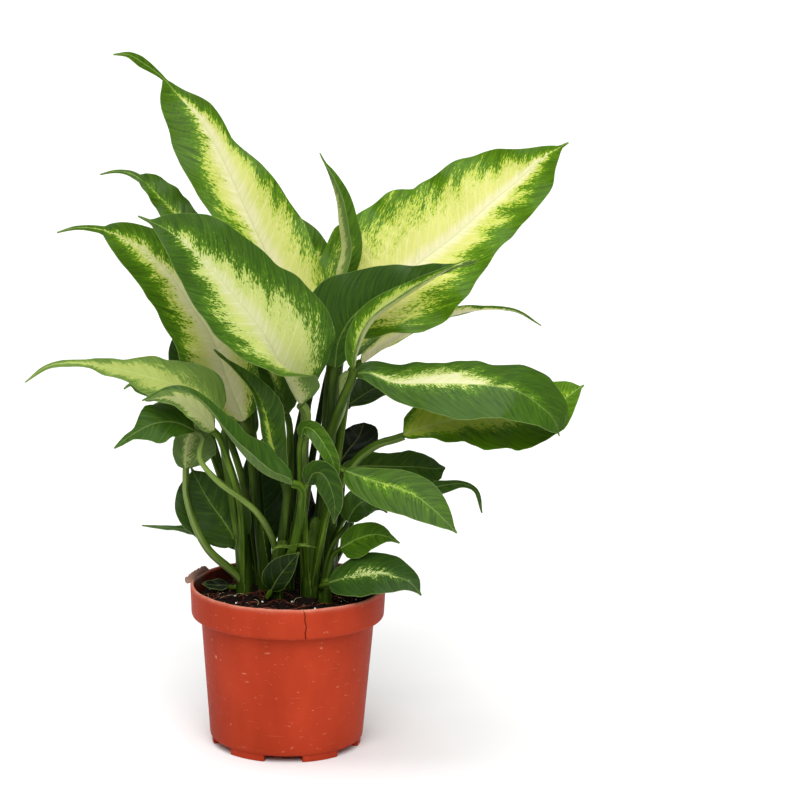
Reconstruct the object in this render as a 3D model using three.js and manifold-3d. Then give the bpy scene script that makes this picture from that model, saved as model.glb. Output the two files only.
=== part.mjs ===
// Potted dieffenbachia: a tapered nursery pot of red plastic, its mounded root ball, eleven leafy
// shoots and their blades. Millimetres, +Z up. The origin is on the ground under the pot's axis,
// and the front of the plant faces -Y.
import * as THREE from "three";
import { mergeVertices } from "three/addons/utils/BufferGeometryUtils.js";
import Module from "manifold-3d";

const wasm = await Module();
wasm.setup();

// Pot
const RIM_RADIUS = 60;
const RIM_LOWER_RADIUS = 59.3;
const POT_HEIGHT = 100;
const RIM_BAND_FOOT = 81.5;
const NECK_RADIUS = 53.3;
const FLOOR_RADIUS = 47.4;
const POT_WALL = 1.6;
const FLOOR_BOTTOM = 4;
const FLOOR_THICKNESS = 2;
const EDGE_ROUND = 1.4;
const POT_SEGMENTS = 48;

// Feet under the floor, and the drain holes between them
const FOOT_COUNT = 6;
const FOOT_START = THREE.MathUtils.degToRad(-135);
const FOOT_ARC = THREE.MathUtils.degToRad(30);
const FOOT_OUTER = 46;
const FOOT_INNER = 42.6;
const FOOT_SINK = 1;
const BOSS_RADIUS = 9;
const BOSS_SIDES = 24;
const DRAIN_COUNT = 6;
const DRAIN_CIRCLE = 29;
const DRAIN_RADIUS = 4.5;
const DRAIN_SIDES = 16;
const DRAIN_OVERCUT = 1;
const FOOT_SEGMENTS = 6;

// Root ball
const GAP = 0.3;
const SOIL_EDGE = 90;
const SOIL_SHOULDER = 93;
const SOIL_TOP = 95;
const SHOULDER_SHARE = 0.8;
const CROWN_SHARE = 0.4;
const SOIL_SEGMENTS = 48;
const HOLE_DEPTH = 40;
const HOLE_SIDES = 12;

// Shoots: every cane stands upright in its hole, and its stalks leave it a little above the soil
const CANE_FOOT = 62;
const CANE_TOP = 101;
const STALK_START = 96;
const STALK_SIDES = 6;
const STALK_STEP = 20;
const STALK_TAPER = 0.8;
const SHEATH_TAPER = 0.7;
const SHEATH_STEPS = 3;
const SHEATH_SIDES = 8;
const SHEATH_BEND = 3;
const STALK_LEAST_STEPS = 4;
const CANE_FLAT = 0.92;
const NECK_LENGTH = 6;
const NECK_GAP = 0.6;

// Blades
const BLADE_THICKNESS = 0.8;
const KEEL_DEPTH = 2;
const STRIPS_PER_HALF = 2;
const BASE_HALF_WIDTH = 1.4;
const TIP_HALF_WIDTH = 0.5;
const WAVE_OFFSET = 0.37;
const SHOULDER_POWER = 0.85;
const WAVE_ONSET = 1.6;
const FOLD_ONSET = 3;
const WELD_DISTANCE = 1e-4;

// Every shape point of the plant is given as it is seen from the front: millimetres across and up
// in the upright plane through the pot's axis, and millimetres behind that plane. The point itself
// lies on the line of sight from the eye through that place of the plane.
const EYE = new THREE.Vector3(66.6, -1665.3, 558.4);

// Canes: where each one stands (across, behind) and its radius; then how high the column of its
// stalk feet rises above it, and how far that column leans (across, behind).
const SHOOTS = {
  left: { across: -27, back: -1, radius: 5.5, rise: 40, lean: [-4, -4] },
  inner: { across: -14, back: 4, radius: 5, rise: 40, lean: [-2, -2] },
  middle: { across: -17, back: 20, radius: 6, rise: 40, lean: [-3, 0] },
  front: { across: -7, back: -12, radius: 4.5, rise: 32, lean: [4, -8] },
  centre: { across: -1, back: 7, radius: 5, rise: 40, lean: [5, -4] },
  right: { across: 13, back: -8, radius: 6, rise: 45, lean: [4, -5] },
  outer: { across: 22, back: 10, radius: 6.5, rise: 45, lean: [4, 0] },
  low: { across: 23, back: -18, radius: 4.5, rise: 8, lean: [1, 0] },
  back: { across: 6, back: 36, radius: 5, rise: 30, lean: [2, 2] },
  rear_left: { across: -16, back: 36, radius: 4.5, rise: 25, lean: [0, 3] },
  rear_right: { across: 26, back: 32, radius: 4.5, rise: 25, lean: [2, 3] },
};

const TONES = {
  cream: "#c9cf7c",
  streak: "#6f9340",
  green: "#47752a",
  dark: "#2f5a20",
  pale: "#9aae6e",
};

// Blades. Every list runs from the stalk to the tip, evenly spaced.
// rib: points of the midrib. face: where the upper face looks. belly: how far along it is widest.
// point: how sharply it closes (small is blunt). drip: share of the length that is the drawn-out tip.
// tail: half widths of that tip, at its middle and where it begins. left, right: half widths.
// foldLeft, foldRight: degrees by which a half is raised above flat.
// wave: height of the margin's waves, how many, where they start. stalk: points up to the blade.
// girth: radius of the stalk at its foot. steps: rows of facets along the blade.
const LEAVES = [
  {
    name: "leaf_top_left",
    shoot: "centre", tone: "cream", steps: 16, girth: 4,
    rib: [
      [12, 252, 12], [3, 272, 16], [-9, 292, 21], [-19, 312, 26], [-28, 331, 31], [-41, 359, 38],
      [-55, 384, 43], [-68, 398, 46], [-78, 409, 45], [-89, 417, 40], [-98, 422, 36], [-107, 422, 32],
    ],
    face: [[0.1, -1, 0.4], [0, -1, 0.5]],
    belly: 0.32, point: 0.6, drip: 0.17, tail: [3.4, 1.2], wave: [1.5, 4, 0.1],
    left: [28, 28, 26, 20, 24, 27, 33, 36, 38, 40, 40],
    right: [26, 27, 28, 29, 27, 23, 14, 19, 12, 10, 10],
    foldLeft: [60, 52, 12, 0, 0], foldRight: [5, 5, 10],
    stalk: [[-4, 98, 16], [2, 170, 14]],
  },
  {
    name: "leaf_top_right",
    shoot: "outer", tone: "cream", steps: 16, girth: 4.2,
    rib: [
      [32, 258, 20], [46, 273, 26], [62, 287, 31], [77, 301, 36], [98, 318, 42], [118, 337, 47],
      [136, 353, 50], [150, 366, 50], [164, 375, 46],
    ],
    face: [[0, -1, 0.4], [-0.1, -1, 0.6]],
    belly: 0.34, point: 0.7, drip: 0.03, tail: [0.9, 1.2], wave: [2, 5, 0.1],
    left: [50, 54, 54, 48, 47, 42, 42, 44, 41, 25, 20],
    right: [34, 34, 42, 42, 40, 34, 32, 34, 39, 42, 40],
    foldLeft: [5, 5], foldRight: [30, 18, 20, 12, 5],
    stalk: [[16, 99, 20], [22, 180, 18]],
  },
  {
    name: "leaf_front_left",
    shoot: "centre", tone: "cream", steps: 14, girth: 4,
    rib: [
      [7, 212.5, -20], [3, 218.5, -23], [-2, 228, -27], [-7, 238, -31], [-17.5, 257, -37],
      [-34.5, 278.5, -42], [-55, 301.5, -46], [-74.5, 317.5, -48], [-92.5, 326, -50],
    ],
    face: [[0.3, -1, 0.5], [0, -1, 0.5]],
    belly: 0.35, point: 0.75, drip: 0.05, tail: [0.9, 1.2], wave: [1.2, 4, 0.1],
    left: [26, 28, 30, 28, 24],
    right: [36, 40, 43, 41, 38, 34, 35, 36, 42, 36, 30],
    foldLeft: [140, 120, 60, 30, 20, 15, 10, 10, 10], foldRight: [5, 5],
    stalk: [[0.5, 98.5, -2], [8, 153, -12], [8, 184.5, -17]],
  },
  {
    name: "leaf_left_mid",
    shoot: "inner", tone: "cream", steps: 14, girth: 3.4,
    rib: [
      [-28, 202, 8], [-38, 226, 6], [-47, 251, 1], [-61, 273, -5], [-76, 294, -10], [-94, 308, -15],
      [-110, 316, -20], [-120, 318, -23], [-130, 318, -27], [-141, 315, -32],
    ],
    face: [[0.1, -1, 0.4], [0, -1, 0.5]],
    belly: 0.36, point: 0.7, drip: 0.15, tail: [1.4, 2.4], wave: [1.2, 4, 0.1],
    left: [20, 23, 26, 26, 23, 23, 26, 28, 34, 30, 30],
    right: [22, 23, 22, 20, 20, 20, 20, 24, 28, 28, 28],
    foldLeft: [20, 15, 10], foldRight: [10, 10, 20],
    stalk: [[-17, 98, 6], [-20, 150, 4]],
  },
  {
    name: "leaf_spear",
    shoot: "outer", tone: "green", steps: 8, girth: 3.4,
    rib: [
      [31, 266, 12], [28, 290, 13], [31, 308, 14], [29, 323, 14], [27, 338, 15], [22, 353, 16],
      [16, 366, 18],
    ],
    face: [[0.9, -0.35, 0], [0.9, -0.35, 0]],
    belly: 0.45, point: 0.9, drip: 0.04, tail: [0.9, 1.2], wave: [0, 3, 0],
    left: [10, 11, 9],
    right: [10, 12, 10],
    foldLeft: [50], foldRight: [52],
    stalk: [[14, 99, 4], [24, 180, 6]],
  },
  {
    name: "leaf_top_back",
    shoot: "back", tone: "dark", steps: 8, girth: 2.4,
    rib: [[14, 258, 44], [13, 288, 52], [8, 310, 60], [-4, 332, 70]],
    face: [[0, -1, 0.3]],
    belly: 0.4, point: 0.8, drip: 0.05, tail: [0.9, 1.2], wave: [0.6, 3, 0],
    left: [16],
    right: [16],
    foldLeft: [10], foldRight: [10],
    stalk: [[4, 103, 36], [8, 180, 38]],
  },
  {
    name: "leaf_centre_dark",
    shoot: "right", tone: "dark", steps: 10, girth: 3.2,
    rib: [[27, 236, -7], [29, 252, -3], [37, 267, 0], [54, 280, 1], [80, 292, -1], [112, 303, -7]],
    face: [[-0.2, -1, 0.3], [0, -1, 0.8]],
    belly: 0.4, point: 0.8, drip: 0.05, tail: [0.9, 1.2], wave: [1.2, 4, 0.2],
    left: [34, 30, 18, 10, 7],
    right: [14, 12, 8, 4, 3],
    foldLeft: [30, 20, 10], foldRight: [20],
    stalk: [[15, 99, -4], [22, 170, -6]],
  },
  {
    name: "leaf_centre_fold",
    shoot: "right", tone: "streak", steps: 10, girth: 3.4,
    rib: [
      [38, 235, -21], [40.5, 247, -19], [49.5, 265, -17], [65.5, 278, -17], [81.5, 289, -18],
      [94.5, 297.5, -20], [106, 303, -23],
    ],
    face: [[-0.3, -1, 0.2], [0, -1, 0.5]],
    belly: 0.38, point: 0.8, drip: 0.05, tail: [0.9, 1.2], wave: [0.6, 3, 0],
    left: [9, 11, 10, 8, 6, 5],
    right: [9, 9, 7],
    foldLeft: [10], foldRight: [90, 92, 96],
    stalk: [[18.5, 99.5, -8], [20, 153.5, -12], [23.5, 189, -16], [31, 213.5, -19]],
  },
  {
    name: "leaf_right_pale",
    shoot: "outer", tone: "pale", steps: 10, girth: 3.4,
    rib: [[42, 240, 34], [62, 254, 42], [85, 266, 50], [110, 273, 58], [135, 273, 62], [151, 264, 60]],
    face: [[0, 0.6, 1], [0, 0.7, 1]],
    belly: 0.4, point: 0.9, drip: 0.2, tail: [1.6, 2.6], wave: [0.6, 3, 0],
    left: [20, 20, 12, 4, 3],
    right: [12, 12, 8, 4, 3],
    foldLeft: [10], foldRight: [20],
    stalk: [[22, 100, 14], [30, 190, 24]],
  },
  {
    name: "leaf_right_broad",
    shoot: "outer", tone: "streak", steps: 14, girth: 4,
    rib: [
      [38, 232, -6], [46, 233, -8], [62, 227, -12], [85, 227, -17], [106, 227, -21], [122, 226, -24],
      [138, 223, -27], [152, 214, -29], [160, 206, -30], [164, 196, -30],
    ],
    face: [[0, -0.45, 1], [0.1, -0.45, 1], [0.8, -0.5, 1]],
    belly: 0.45, point: 0.5, drip: 0.02, tail: [0.9, 1.2], wave: [1, 4, 0.3],
    left: [26, 27, 27, 27, 28, 37, 58, 80],
    right: [8, 12, 19, 27, 29, 29, 28, 26],
    foldLeft: [-4], foldRight: [-12],
    stalk: [[19.5, 99.5, 8], [20, 159.5, 8], [22.5, 189, 6], [30.5, 210.5, 2]],
  },
  {
    name: "leaf_right_under",
    shoot: "outer", tone: "streak", steps: 12, girth: 3.2,
    rib: [[69, 195, 2], [85, 201, 0], [104, 206, 0], [130, 208, 2], [155, 212, 6], [178, 228, 10]],
    face: [[0, -0.4, 1], [0, -0.5, 1]],
    belly: 0.45, point: 0.6, drip: 0.02, tail: [0.9, 1.2], wave: [1.2, 5, 0.3],
    left: [28, 30, 30],
    right: [10, 14, 20, 25, 28, 27, 21, 14],
    foldLeft: [25, 15], foldRight: [-14],
    stalk: [[24, 99, 10], [26, 150, 8], [40, 178, 6], [54, 189, 4]],
  },
  {
    name: "leaf_left_long",
    shoot: "left", tone: "streak", steps: 14, girth: 3.2,
    rib: [
      [-42, 206, -25], [-56, 218, -26], [-73, 224, -27], [-91, 229, -28], [-110, 233, -31],
      [-130, 235.5, -34], [-147, 233, -37], [-161, 223, -40],
    ],
    face: [[0, -0.6, 1], [0, -0.5, 1]],
    belly: 0.35, point: 1.1, drip: 0.22, tail: [2, 3.4], wave: [1.4, 4, 0.3],
    left: [14, 16, 14, 10, 6, 4],
    right: [21, 19, 15, 12, 9, 5],
    foldLeft: [-5], foldRight: [22, 12, 0],
    stalk: [[-27, 96, 0], [-34, 150, -8], [-40, 190, -16]],
  },
  {
    name: "leaf_left_arch",
    shoot: "front", tone: "green", steps: 10, girth: 3.2,
    rib: [
      [2, 164, -42], [-14, 170, -45], [-27, 181, -48], [-38, 195, -50], [-50, 210, -51],
      [-62, 219, -52], [-75, 220, -52], [-90, 213, -51],
    ],
    face: [[0.6, -0.3, 0.6], [0.3, -0.6, 1], [0, -0.7, 1]],
    belly: 0.45, point: 0.8, drip: 0.05, tail: [0.9, 1.2], wave: [0.5, 3, 0.3],
    left: [9, 9, 4, 2, 2, 2],
    right: [18, 18, 9, 5, 5, 4],
    foldLeft: [60, 60, 35, 10], foldRight: [25, 25, 20, 10],
    stalk: [[-6.5, 98.5, -14], [3.5, 124.5, -24], [7.5, 148, -35]],
  },
  {
    name: "leaf_left_cream",
    shoot: "left", tone: "cream", steps: 8, girth: 2.6,
    rib: [[-46, 196, -33], [-54, 205, -38], [-64, 212, -42], [-76, 215, -46], [-88, 213, -49]],
    face: [[0, -0.7, 1], [0, -0.7, 1]],
    belly: 0.4, point: 0.8, drip: 0.05, tail: [0.9, 1.2], wave: [0.5, 3, 0.3],
    left: [9, 8, 6, 5],
    right: [10, 9, 8],
    foldLeft: [-10], foldRight: [10],
    stalk: [[-28, 96, -4], [-30, 150, -18], [-38, 178, -27]],
  },
  {
    name: "leaf_left_hanging",
    shoot: "left", tone: "streak", steps: 8, girth: 2.6,
    rib: [[-63, 171, -6], [-63, 182, -2], [-60, 194, 2], [-54, 206, 6]],
    face: [[0.1, 1, 0.3]],
    belly: 0.4, point: 0.8, drip: 0.05, tail: [0.9, 1.2], wave: [0.5, 3, 0.3],
    left: [18],
    right: [9],
    foldLeft: [5], foldRight: [10],
    stalk: [[-31, 95, -6], [-49, 120, -10], [-58, 137, -10], [-63, 156, -8]],
  },
  {
    name: "leaf_left_dark",
    shoot: "inner", tone: "dark", steps: 10, girth: 2,
    rib: [[-58, 195, -30], [-70, 200, -32], [-82, 199, -35], [-94, 193, -38], [-107, 183, -42]],
    face: [[0, -0.8, 1], [0, -0.8, 1]],
    belly: 0.42, point: 1, drip: 0.2, tail: [2, 3], wave: [1.2, 3, 0.3],
    left: [6, 12, 17, 17, 6],
    right: [10, 14, 15, 8, 4],
    foldLeft: [0], foldRight: [5],
    stalk: [
      [-7.5, 98.5, 0], [-8.5, 122.5, -14], [-18.5, 143, -26], [-30, 153.5, -32], [-44, 164, -36],
      [-55, 178.5, -36],
    ],
  },
  {
    name: "leaf_left_back",
    shoot: "middle", tone: "dark", steps: 8, girth: 2,
    rib: [[-58, 196, 14], [-70, 203, 18], [-82, 204, 22], [-92, 198, 26]],
    face: [[0, -0.8, 1], [0, -0.8, 1]],
    belly: 0.42, point: 0.8, drip: 0.04, tail: [0.9, 1.2], wave: [0.8, 3, 0.3],
    left: [13],
    right: [13],
    foldLeft: [0], foldRight: [5],
    stalk: [[-20, 100, 20], [-40, 160, 14]],
  },
  {
    name: "leaf_left_curl",
    shoot: "middle", tone: "dark", steps: 8, girth: 2,
    rib: [[-60, 214, 32], [-74, 221, 36], [-88, 222, 40], [-97, 223, 44], [-101, 220, 42]],
    face: [[0, -0.8, 1], [0, -0.8, 1]],
    belly: 0.42, point: 0.8, drip: 0.1, tail: [0.9, 1.2], wave: [0.8, 3, 0.3],
    left: [8, 8, 10],
    right: [8],
    foldLeft: [-20], foldRight: [5],
    stalk: [[-22, 101, 24], [-38, 160, 22]],
  },
  {
    name: "leaf_upper_left",
    shoot: "middle", tone: "dark", steps: 12, girth: 3,
    rib: [
      [-50, 296, 30], [-58, 312, 34], [-67, 324, 37], [-77, 335, 40], [-87, 345, 43], [-97, 351.5, 45],
      [-106, 352.5, 46], [-115, 350.5, 46],
    ],
    face: [[0.2, -1, 0.4]],
    belly: 0.4, point: 0.6, drip: 0.25, tail: [1.2, 2.4], wave: [1.6, 5, 0.3],
    left: [12, 11, 9, 8, 7],
    right: [10, 10, 13, 17, 22],
    foldLeft: [20], foldRight: [10],
    stalk: [[-16, 100, 18], [-24, 200, 20]],
  },
  {
    name: "leaf_behind_left",
    shoot: "middle", tone: "dark", steps: 8, girth: 2.6,
    rib: [[-48, 214, 14], [-57, 228, 18], [-65, 243, 22], [-70, 258, 26]],
    face: [[0, -1, 0.4]],
    belly: 0.4, point: 0.8, drip: 0.05, tail: [0.9, 1.2], wave: [0.5, 3, 0.3],
    left: [13],
    right: [13],
    foldLeft: [10], foldRight: [10],
    stalk: [[-18, 100, 16], [-30, 170, 12]],
  },
  {
    name: "leaf_low_left",
    shoot: "left", tone: "dark", steps: 8, girth: 2.2,
    rib: [[-31, 124, 2], [-39.5, 138, 4], [-48.5, 150.5, 6], [-54.5, 161, 8], [-60, 172, 10]],
    face: [[0, -1, 0.4]],
    belly: 0.42, point: 0.6, drip: 0.05, tail: [0.9, 1.2], wave: [0.5, 3, 0.3],
    left: [16, 20, 25, 28],
    right: [18, 18, 16],
    foldLeft: [10], foldRight: [5],
    stalk: [[-27, 98, 6]],
  },
  {
    name: "leaf_low_left_spike",
    shoot: "middle", tone: "green", steps: 8, girth: 2,
    rib: [[-36, 124, 18], [-50, 130, 22], [-63, 133, 26], [-76, 134, 30], [-90, 135, 34]],
    face: [[0, -0.7, 1]],
    belly: 0.4, point: 0.8, drip: 0.3, tail: [1.2, 2], wave: [0.5, 3, 0.3],
    left: [4],
    right: [4],
    foldLeft: [10], foldRight: [10],
    stalk: [[-20, 100, 14]],
  },
  {
    name: "leaf_centre_long",
    shoot: "front", tone: "green", steps: 9, girth: 3,
    rib: [
      [-3.5, 164, -22], [-7.5, 176.5, -25], [-11, 190, -28], [-14.5, 205.5, -30], [-20, 218.5, -32],
      [-29, 230, -34], [-38, 238, -35], [-46.5, 245.5, -36],
    ],
    face: [[-0.2, -1, 0.3], [0.2, -0.8, 0.8]],
    belly: 0.4, point: 0.9, drip: 0.05, tail: [0.9, 1.2], wave: [0.5, 3, 0.3],
    left: [5, 6, 6, 5, 5, 4],
    right: [7, 9, 10, 12, 9, 6, 3],
    foldLeft: [40, 30], foldRight: [20],
    stalk: [[-8, 98, -8], [-4, 130, -18]],
  },
  {
    name: "leaf_centre_small",
    shoot: "centre", tone: "cream", steps: 8, girth: 2.6,
    rib: [[-2, 206.5, -4], [-6, 217.5, -7], [-11, 229.5, -12], [-17, 241, -18], [-22.5, 252.5, -24]],
    face: [[0.4, -1, 0.4]],
    belly: 0.35, point: 0.8, drip: 0.05, tail: [0.9, 1.2], wave: [0.4, 3, 0.3],
    left: [9],
    right: [12],
    foldLeft: [60], foldRight: [10],
    stalk: [[1, 99, 4], [0.5, 160.5, 0]],
  },
  {
    name: "leaf_right_inner",
    shoot: "right", tone: "dark", steps: 8, girth: 2,
    rib: [
      [7, 192, -24], [9, 198.5, -27], [14.5, 196.5, -30], [21.5, 187, -33], [27, 176, -34],
      [29, 161.5, -34],
    ],
    face: [[-0.2, -1, 0.6]],
    belly: 0.4, point: 0.8, drip: 0.05, tail: [0.9, 1.2], wave: [0.4, 3, 0.3],
    left: [5.5],
    right: [5.5],
    foldLeft: [10], foldRight: [10],
    stalk: [[10, 98, -10], [7, 160.5, -20]],
  },
  {
    name: "leaf_right_bright",
    shoot: "right", tone: "green", steps: 9, girth: 2.6,
    rib: [
      [34, 172, -30], [48, 167, -36], [62, 163, -42], [77, 157, -48], [90, 147, -54], [103, 134, -60],
    ],
    face: [[0, -0.9, 1]],
    belly: 0.42, point: 0.8, drip: 0.03, tail: [0.9, 1.2], wave: [0.4, 3, 0.3],
    left: [8, 10, 14, 15, 14],
    right: [15, 17, 15],
    foldLeft: [5], foldRight: [-5],
    stalk: [[18, 98, -12], [24, 150, -24]],
  },
  {
    name: "leaf_right_dark",
    shoot: "outer", tone: "dark", steps: 8, girth: 2.6,
    rib: [[32, 173, 14], [46, 175, 19], [62, 175, 25], [78, 175, 31], [88, 174, 34], [95, 175, 37]],
    face: [[0, -0.7, 1]],
    belly: 0.45, point: 0.45, drip: 0.03, tail: [0.9, 1.2], wave: [1, 3, 0.3],
    left: [8, 10, 11, 12, 16, 18],
    right: [17],
    foldLeft: [5], foldRight: [-15],
    stalk: [[20, 101, 16], [26, 150, 12]],
  },
  {
    name: "leaf_right_round",
    shoot: "back", tone: "dark", steps: 8, girth: 2.4,
    rib: [[30, 176, 34], [36, 185, 38], [42, 193, 44], [45, 202, 52]],
    face: [[-0.5, -1, 0.6]],
    belly: 0.45, point: 0.4, drip: 0.03, tail: [0.9, 1.2], wave: [0.4, 3, 0.3],
    left: [15],
    right: [15],
    foldLeft: [5], foldRight: [5],
    stalk: [[10, 104, 36], [20, 150, 32]],
  },
  {
    name: "leaf_right_thin",
    shoot: "outer", tone: "dark", steps: 8, girth: 1.8,
    rib: [[72, 158, 10], [84, 161, 11], [95, 164, 12], [106, 165, 12], [114, 161, 10], [118, 147, 6]],
    face: [[0.2, -0.6, 1]],
    belly: 0.4, point: 0.8, drip: 0.3, tail: [1.4, 2], wave: [0.4, 3, 0.3],
    left: [4, 4, 3],
    right: [6, 6, 5],
    foldLeft: [10], foldRight: [-10],
    stalk: [[23, 99, 0], [36, 145, 4], [56, 155, 8]],
  },
  {
    name: "leaf_low_right",
    shoot: "low", tone: "green", steps: 8, girth: 2,
    rib: [[32, 123, -20], [42, 129, -24], [52, 132, -28], [60, 131, -32], [68, 127, -36]],
    face: [[-0.1, -1, 0.8]],
    belly: 0.4, point: 0.8, drip: 0.12, tail: [1, 1.8], wave: [0.4, 3, 0.3],
    left: [9],
    right: [13],
    foldLeft: [10], foldRight: [5],
    stalk: [[20, 97, -12], [25, 110, -16]],
  },
  {
    name: "leaf_rim_right",
    shoot: "low", tone: "green", steps: 8, girth: 2,
    rib: [[25, 101, -30], [38, 105, -36], [51, 107, -41], [64, 106, -46], [75, 102, -50], [82, 94, -53]],
    face: [[0, -0.8, 1]],
    belly: 0.42, point: 0.7, drip: 0.04, tail: [0.9, 1.2], wave: [0.6, 3, 0.3],
    left: [14, 16, 14],
    right: [14, 15, 12],
    foldLeft: [5], foldRight: [-8],
    stalk: [[19, 96, -18]],
  },
  {
    name: "leaf_low_right_curl",
    shoot: "low", tone: "dark", steps: 8, girth: 2,
    rib: [[36, 140, -10], [40, 148, -8], [46, 153, -6], [54, 152, -4], [60, 146, -2]],
    face: [[-0.4, -1, 0.5]],
    belly: 0.4, point: 0.8, drip: 0.08, tail: [0.9, 1.2], wave: [0.4, 3, 0.3],
    left: [10],
    right: [10],
    foldLeft: [10], foldRight: [5],
    stalk: [[22, 98, -14], [24, 116, -15], [30, 130, -13]],
  },
  {
    name: "leaf_right_drooping",
    shoot: "right", tone: "dark", steps: 8, girth: 2,
    rib: [
      [11, 163, -30], [15, 170, -33], [20.5, 169.5, -36], [25, 162, -38], [28, 150.5, -38],
      [27.5, 138.5, -37],
    ],
    face: [[-0.3, -1, 0.3]],
    belly: 0.4, point: 0.8, drip: 0.05, tail: [0.9, 1.2], wave: [0.4, 3, 0.3],
    left: [8],
    right: [8],
    foldLeft: [10], foldRight: [10],
    stalk: [[11.5, 98, -14], [10, 137.5, -21]],
  },
  {
    name: "leaf_rear_tall",
    shoot: "back", tone: "cream", steps: 6, girth: 2.4,
    rib: [[26, 240, 54], [40, 264, 78], [60, 288, 104], [82, 308, 128], [100, 318, 146]],
    face: [[0, -0.4, 1]],
    belly: 0.4, point: 0.8, drip: 0.06, tail: [0.9, 1.2], wave: [0.8, 3, 0.2],
    left: [24],
    right: [24],
    foldLeft: [8], foldRight: [8],
    stalk: [[6, 103, 38], [14, 180, 42]],
  },
  {
    name: "leaf_rear_left_tall",
    shoot: "back", tone: "cream", steps: 6, girth: 2.4,
    rib: [[-8.5, 202.5, 48], [-9.5, 227.5, 54], [-12.5, 252, 64], [-22, 276.5, 84], [-40, 293, 112]],
    face: [[0, -1, 0.3], [0, -0.4, 1]],
    belly: 0.4, point: 0.8, drip: 0.06, tail: [0.9, 1.2], wave: [0.8, 3, 0.2],
    left: [18, 20, 22],
    right: [18, 20, 22],
    foldLeft: [8], foldRight: [8],
    stalk: [[3.5, 103.5, 38], [-2, 159, 44]],
  },
  {
    name: "leaf_rear_left",
    shoot: "rear_left", tone: "green", steps: 6, girth: 2.4,
    rib: [[-24, 192, 54], [-34, 212, 76], [-48, 230, 98], [-60, 242, 118]],
    face: [[0, -0.4, 1]],
    belly: 0.4, point: 0.8, drip: 0.06, tail: [0.9, 1.2], wave: [0.8, 3, 0.2],
    left: [12],
    right: [12],
    foldLeft: [8], foldRight: [8],
    stalk: [[-20, 103, 40], [-22, 150, 46]],
  },
  {
    name: "leaf_rear_right",
    shoot: "rear_right", tone: "cream", steps: 6, girth: 2.4,
    rib: [[35.5, 213, 60], [51.5, 223.5, 84], [72, 230.5, 108], [93.5, 234.5, 130]],
    face: [[0, -0.4, 1]],
    belly: 0.4, point: 0.8, drip: 0.06, tail: [0.9, 1.2], wave: [0.8, 3, 0.2],
    left: [14],
    right: [14],
    foldLeft: [8], foldRight: [8],
    stalk: [[28, 103, 36], [32, 160, 50]],
  },
  {
    name: "leaf_rear_low_left",
    shoot: "rear_left", tone: "dark", steps: 6, girth: 2,
    rib: [[-15, 122.5, 48], [-16.5, 140, 54], [-17, 157.5, 60], [-17, 176.5, 66], [-14, 196.5, 70]],
    face: [[0, -1, 0.4]],
    belly: 0.4, point: 0.8, drip: 0.06, tail: [0.9, 1.2], wave: [0.8, 3, 0.2],
    left: [15],
    right: [14],
    foldLeft: [8], foldRight: [8],
    stalk: [[-21, 103, 42], [-19.5, 109.5, 46]],
  },
  {
    name: "leaf_rear_low_right",
    shoot: "rear_right", tone: "dark", steps: 6, girth: 2,
    rib: [[8.5, 120, 46], [6, 137, 56], [5.5, 156, 64], [6, 175, 68]],
    face: [[0, -1, 0.4]],
    belly: 0.4, point: 0.8, drip: 0.06, tail: [0.9, 1.2], wave: [0.8, 3, 0.2],
    left: [12],
    right: [12],
    foldLeft: [8], foldRight: [8],
    stalk: [[25.5, 103.5, 36], [17, 114, 40]],
  },
  {
    name: "leaf_rear_small",
    shoot: "rear_right", tone: "green", steps: 6, girth: 2,
    rib: [[44, 150, 48], [56, 158, 66], [68, 164, 84], [80, 166, 100]],
    face: [[0, -0.4, 1]],
    belly: 0.4, point: 0.8, drip: 0.06, tail: [0.9, 1.2], wave: [0.8, 3, 0.2],
    left: [10],
    right: [10],
    foldLeft: [8], foldRight: [8],
    stalk: [[30, 103, 36], [36, 130, 42]],
  },
  {
    name: "leaf_soil_left",
    shoot: "left", tone: "dark", steps: 6, girth: 1.8,
    rib: [[-37, 98, 1], [-42, 98, 0], [-47, 98, -1], [-53, 99, -2]],
    face: [[0, -0.5, 1]],
    belly: 0.4, point: 0.7, drip: 0.06, tail: [0.9, 1.2], wave: [0.4, 2, 0.2],
    left: [5],
    right: [5],
    foldLeft: [8], foldRight: [8],
    stalk: [[-29, 98, 0]],
  },
  {
    name: "leaf_soil_small",
    shoot: "front", tone: "dark", steps: 6, girth: 1.8,
    rib: [[-10.5, 95.5, -25], [-6.5, 103, -27], [-1, 110.5, -28], [6.5, 120, -29]],
    face: [[0.1, -1, 0.5]],
    belly: 0.36, point: 0.8, drip: 0.06, tail: [0.9, 1.2], wave: [0.4, 2, 0.2],
    left: [10],
    right: [7],
    foldLeft: [10], foldRight: [10],
    stalk: [[-9, 100, -14]],
  },
];
function seen([across, up, back]) {
  const reach = (back - EYE.y) / -EYE.y;
  return new THREE.Vector3(
    EYE.x + (across - EYE.x) * reach,
    back,
    EYE.z + (up - EYE.z) * reach,
  );
}

// Value of an evenly spaced list at the share s of the way, with soft corners.
function along(values, s, blend) {
  if (values.length === 1) return blend(values[0], values[0], 0);
  const place = THREE.MathUtils.clamp(s, 0, 1) * (values.length - 1);
  const i = Math.min(Math.floor(place), values.length - 2);
  const w = place - i;
  const soft = (w * w * (3 - 2 * w) + w) / 2;
  return blend(values[i], values[i + 1], soft);
}

const mixNumbers = (a, b, w) => a + (b - a) * w;
const mixVectors = (a, b, w) => new THREE.Vector3(...a).lerp(new THREE.Vector3(...b), w);

// Half width of a blade at the share s of its length, as a share of the greatest.
function outline(s, { belly, point, drip }) {
  const q = Math.min(s / (1 - drip), 1);
  if (q < belly) return Math.sqrt(1 - ((belly - q) / belly) ** 2) ** SHOULDER_POWER;
  return Math.max(1 - ((q - belly) / (1 - belly)) ** 2, 0) ** point;
}

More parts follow.
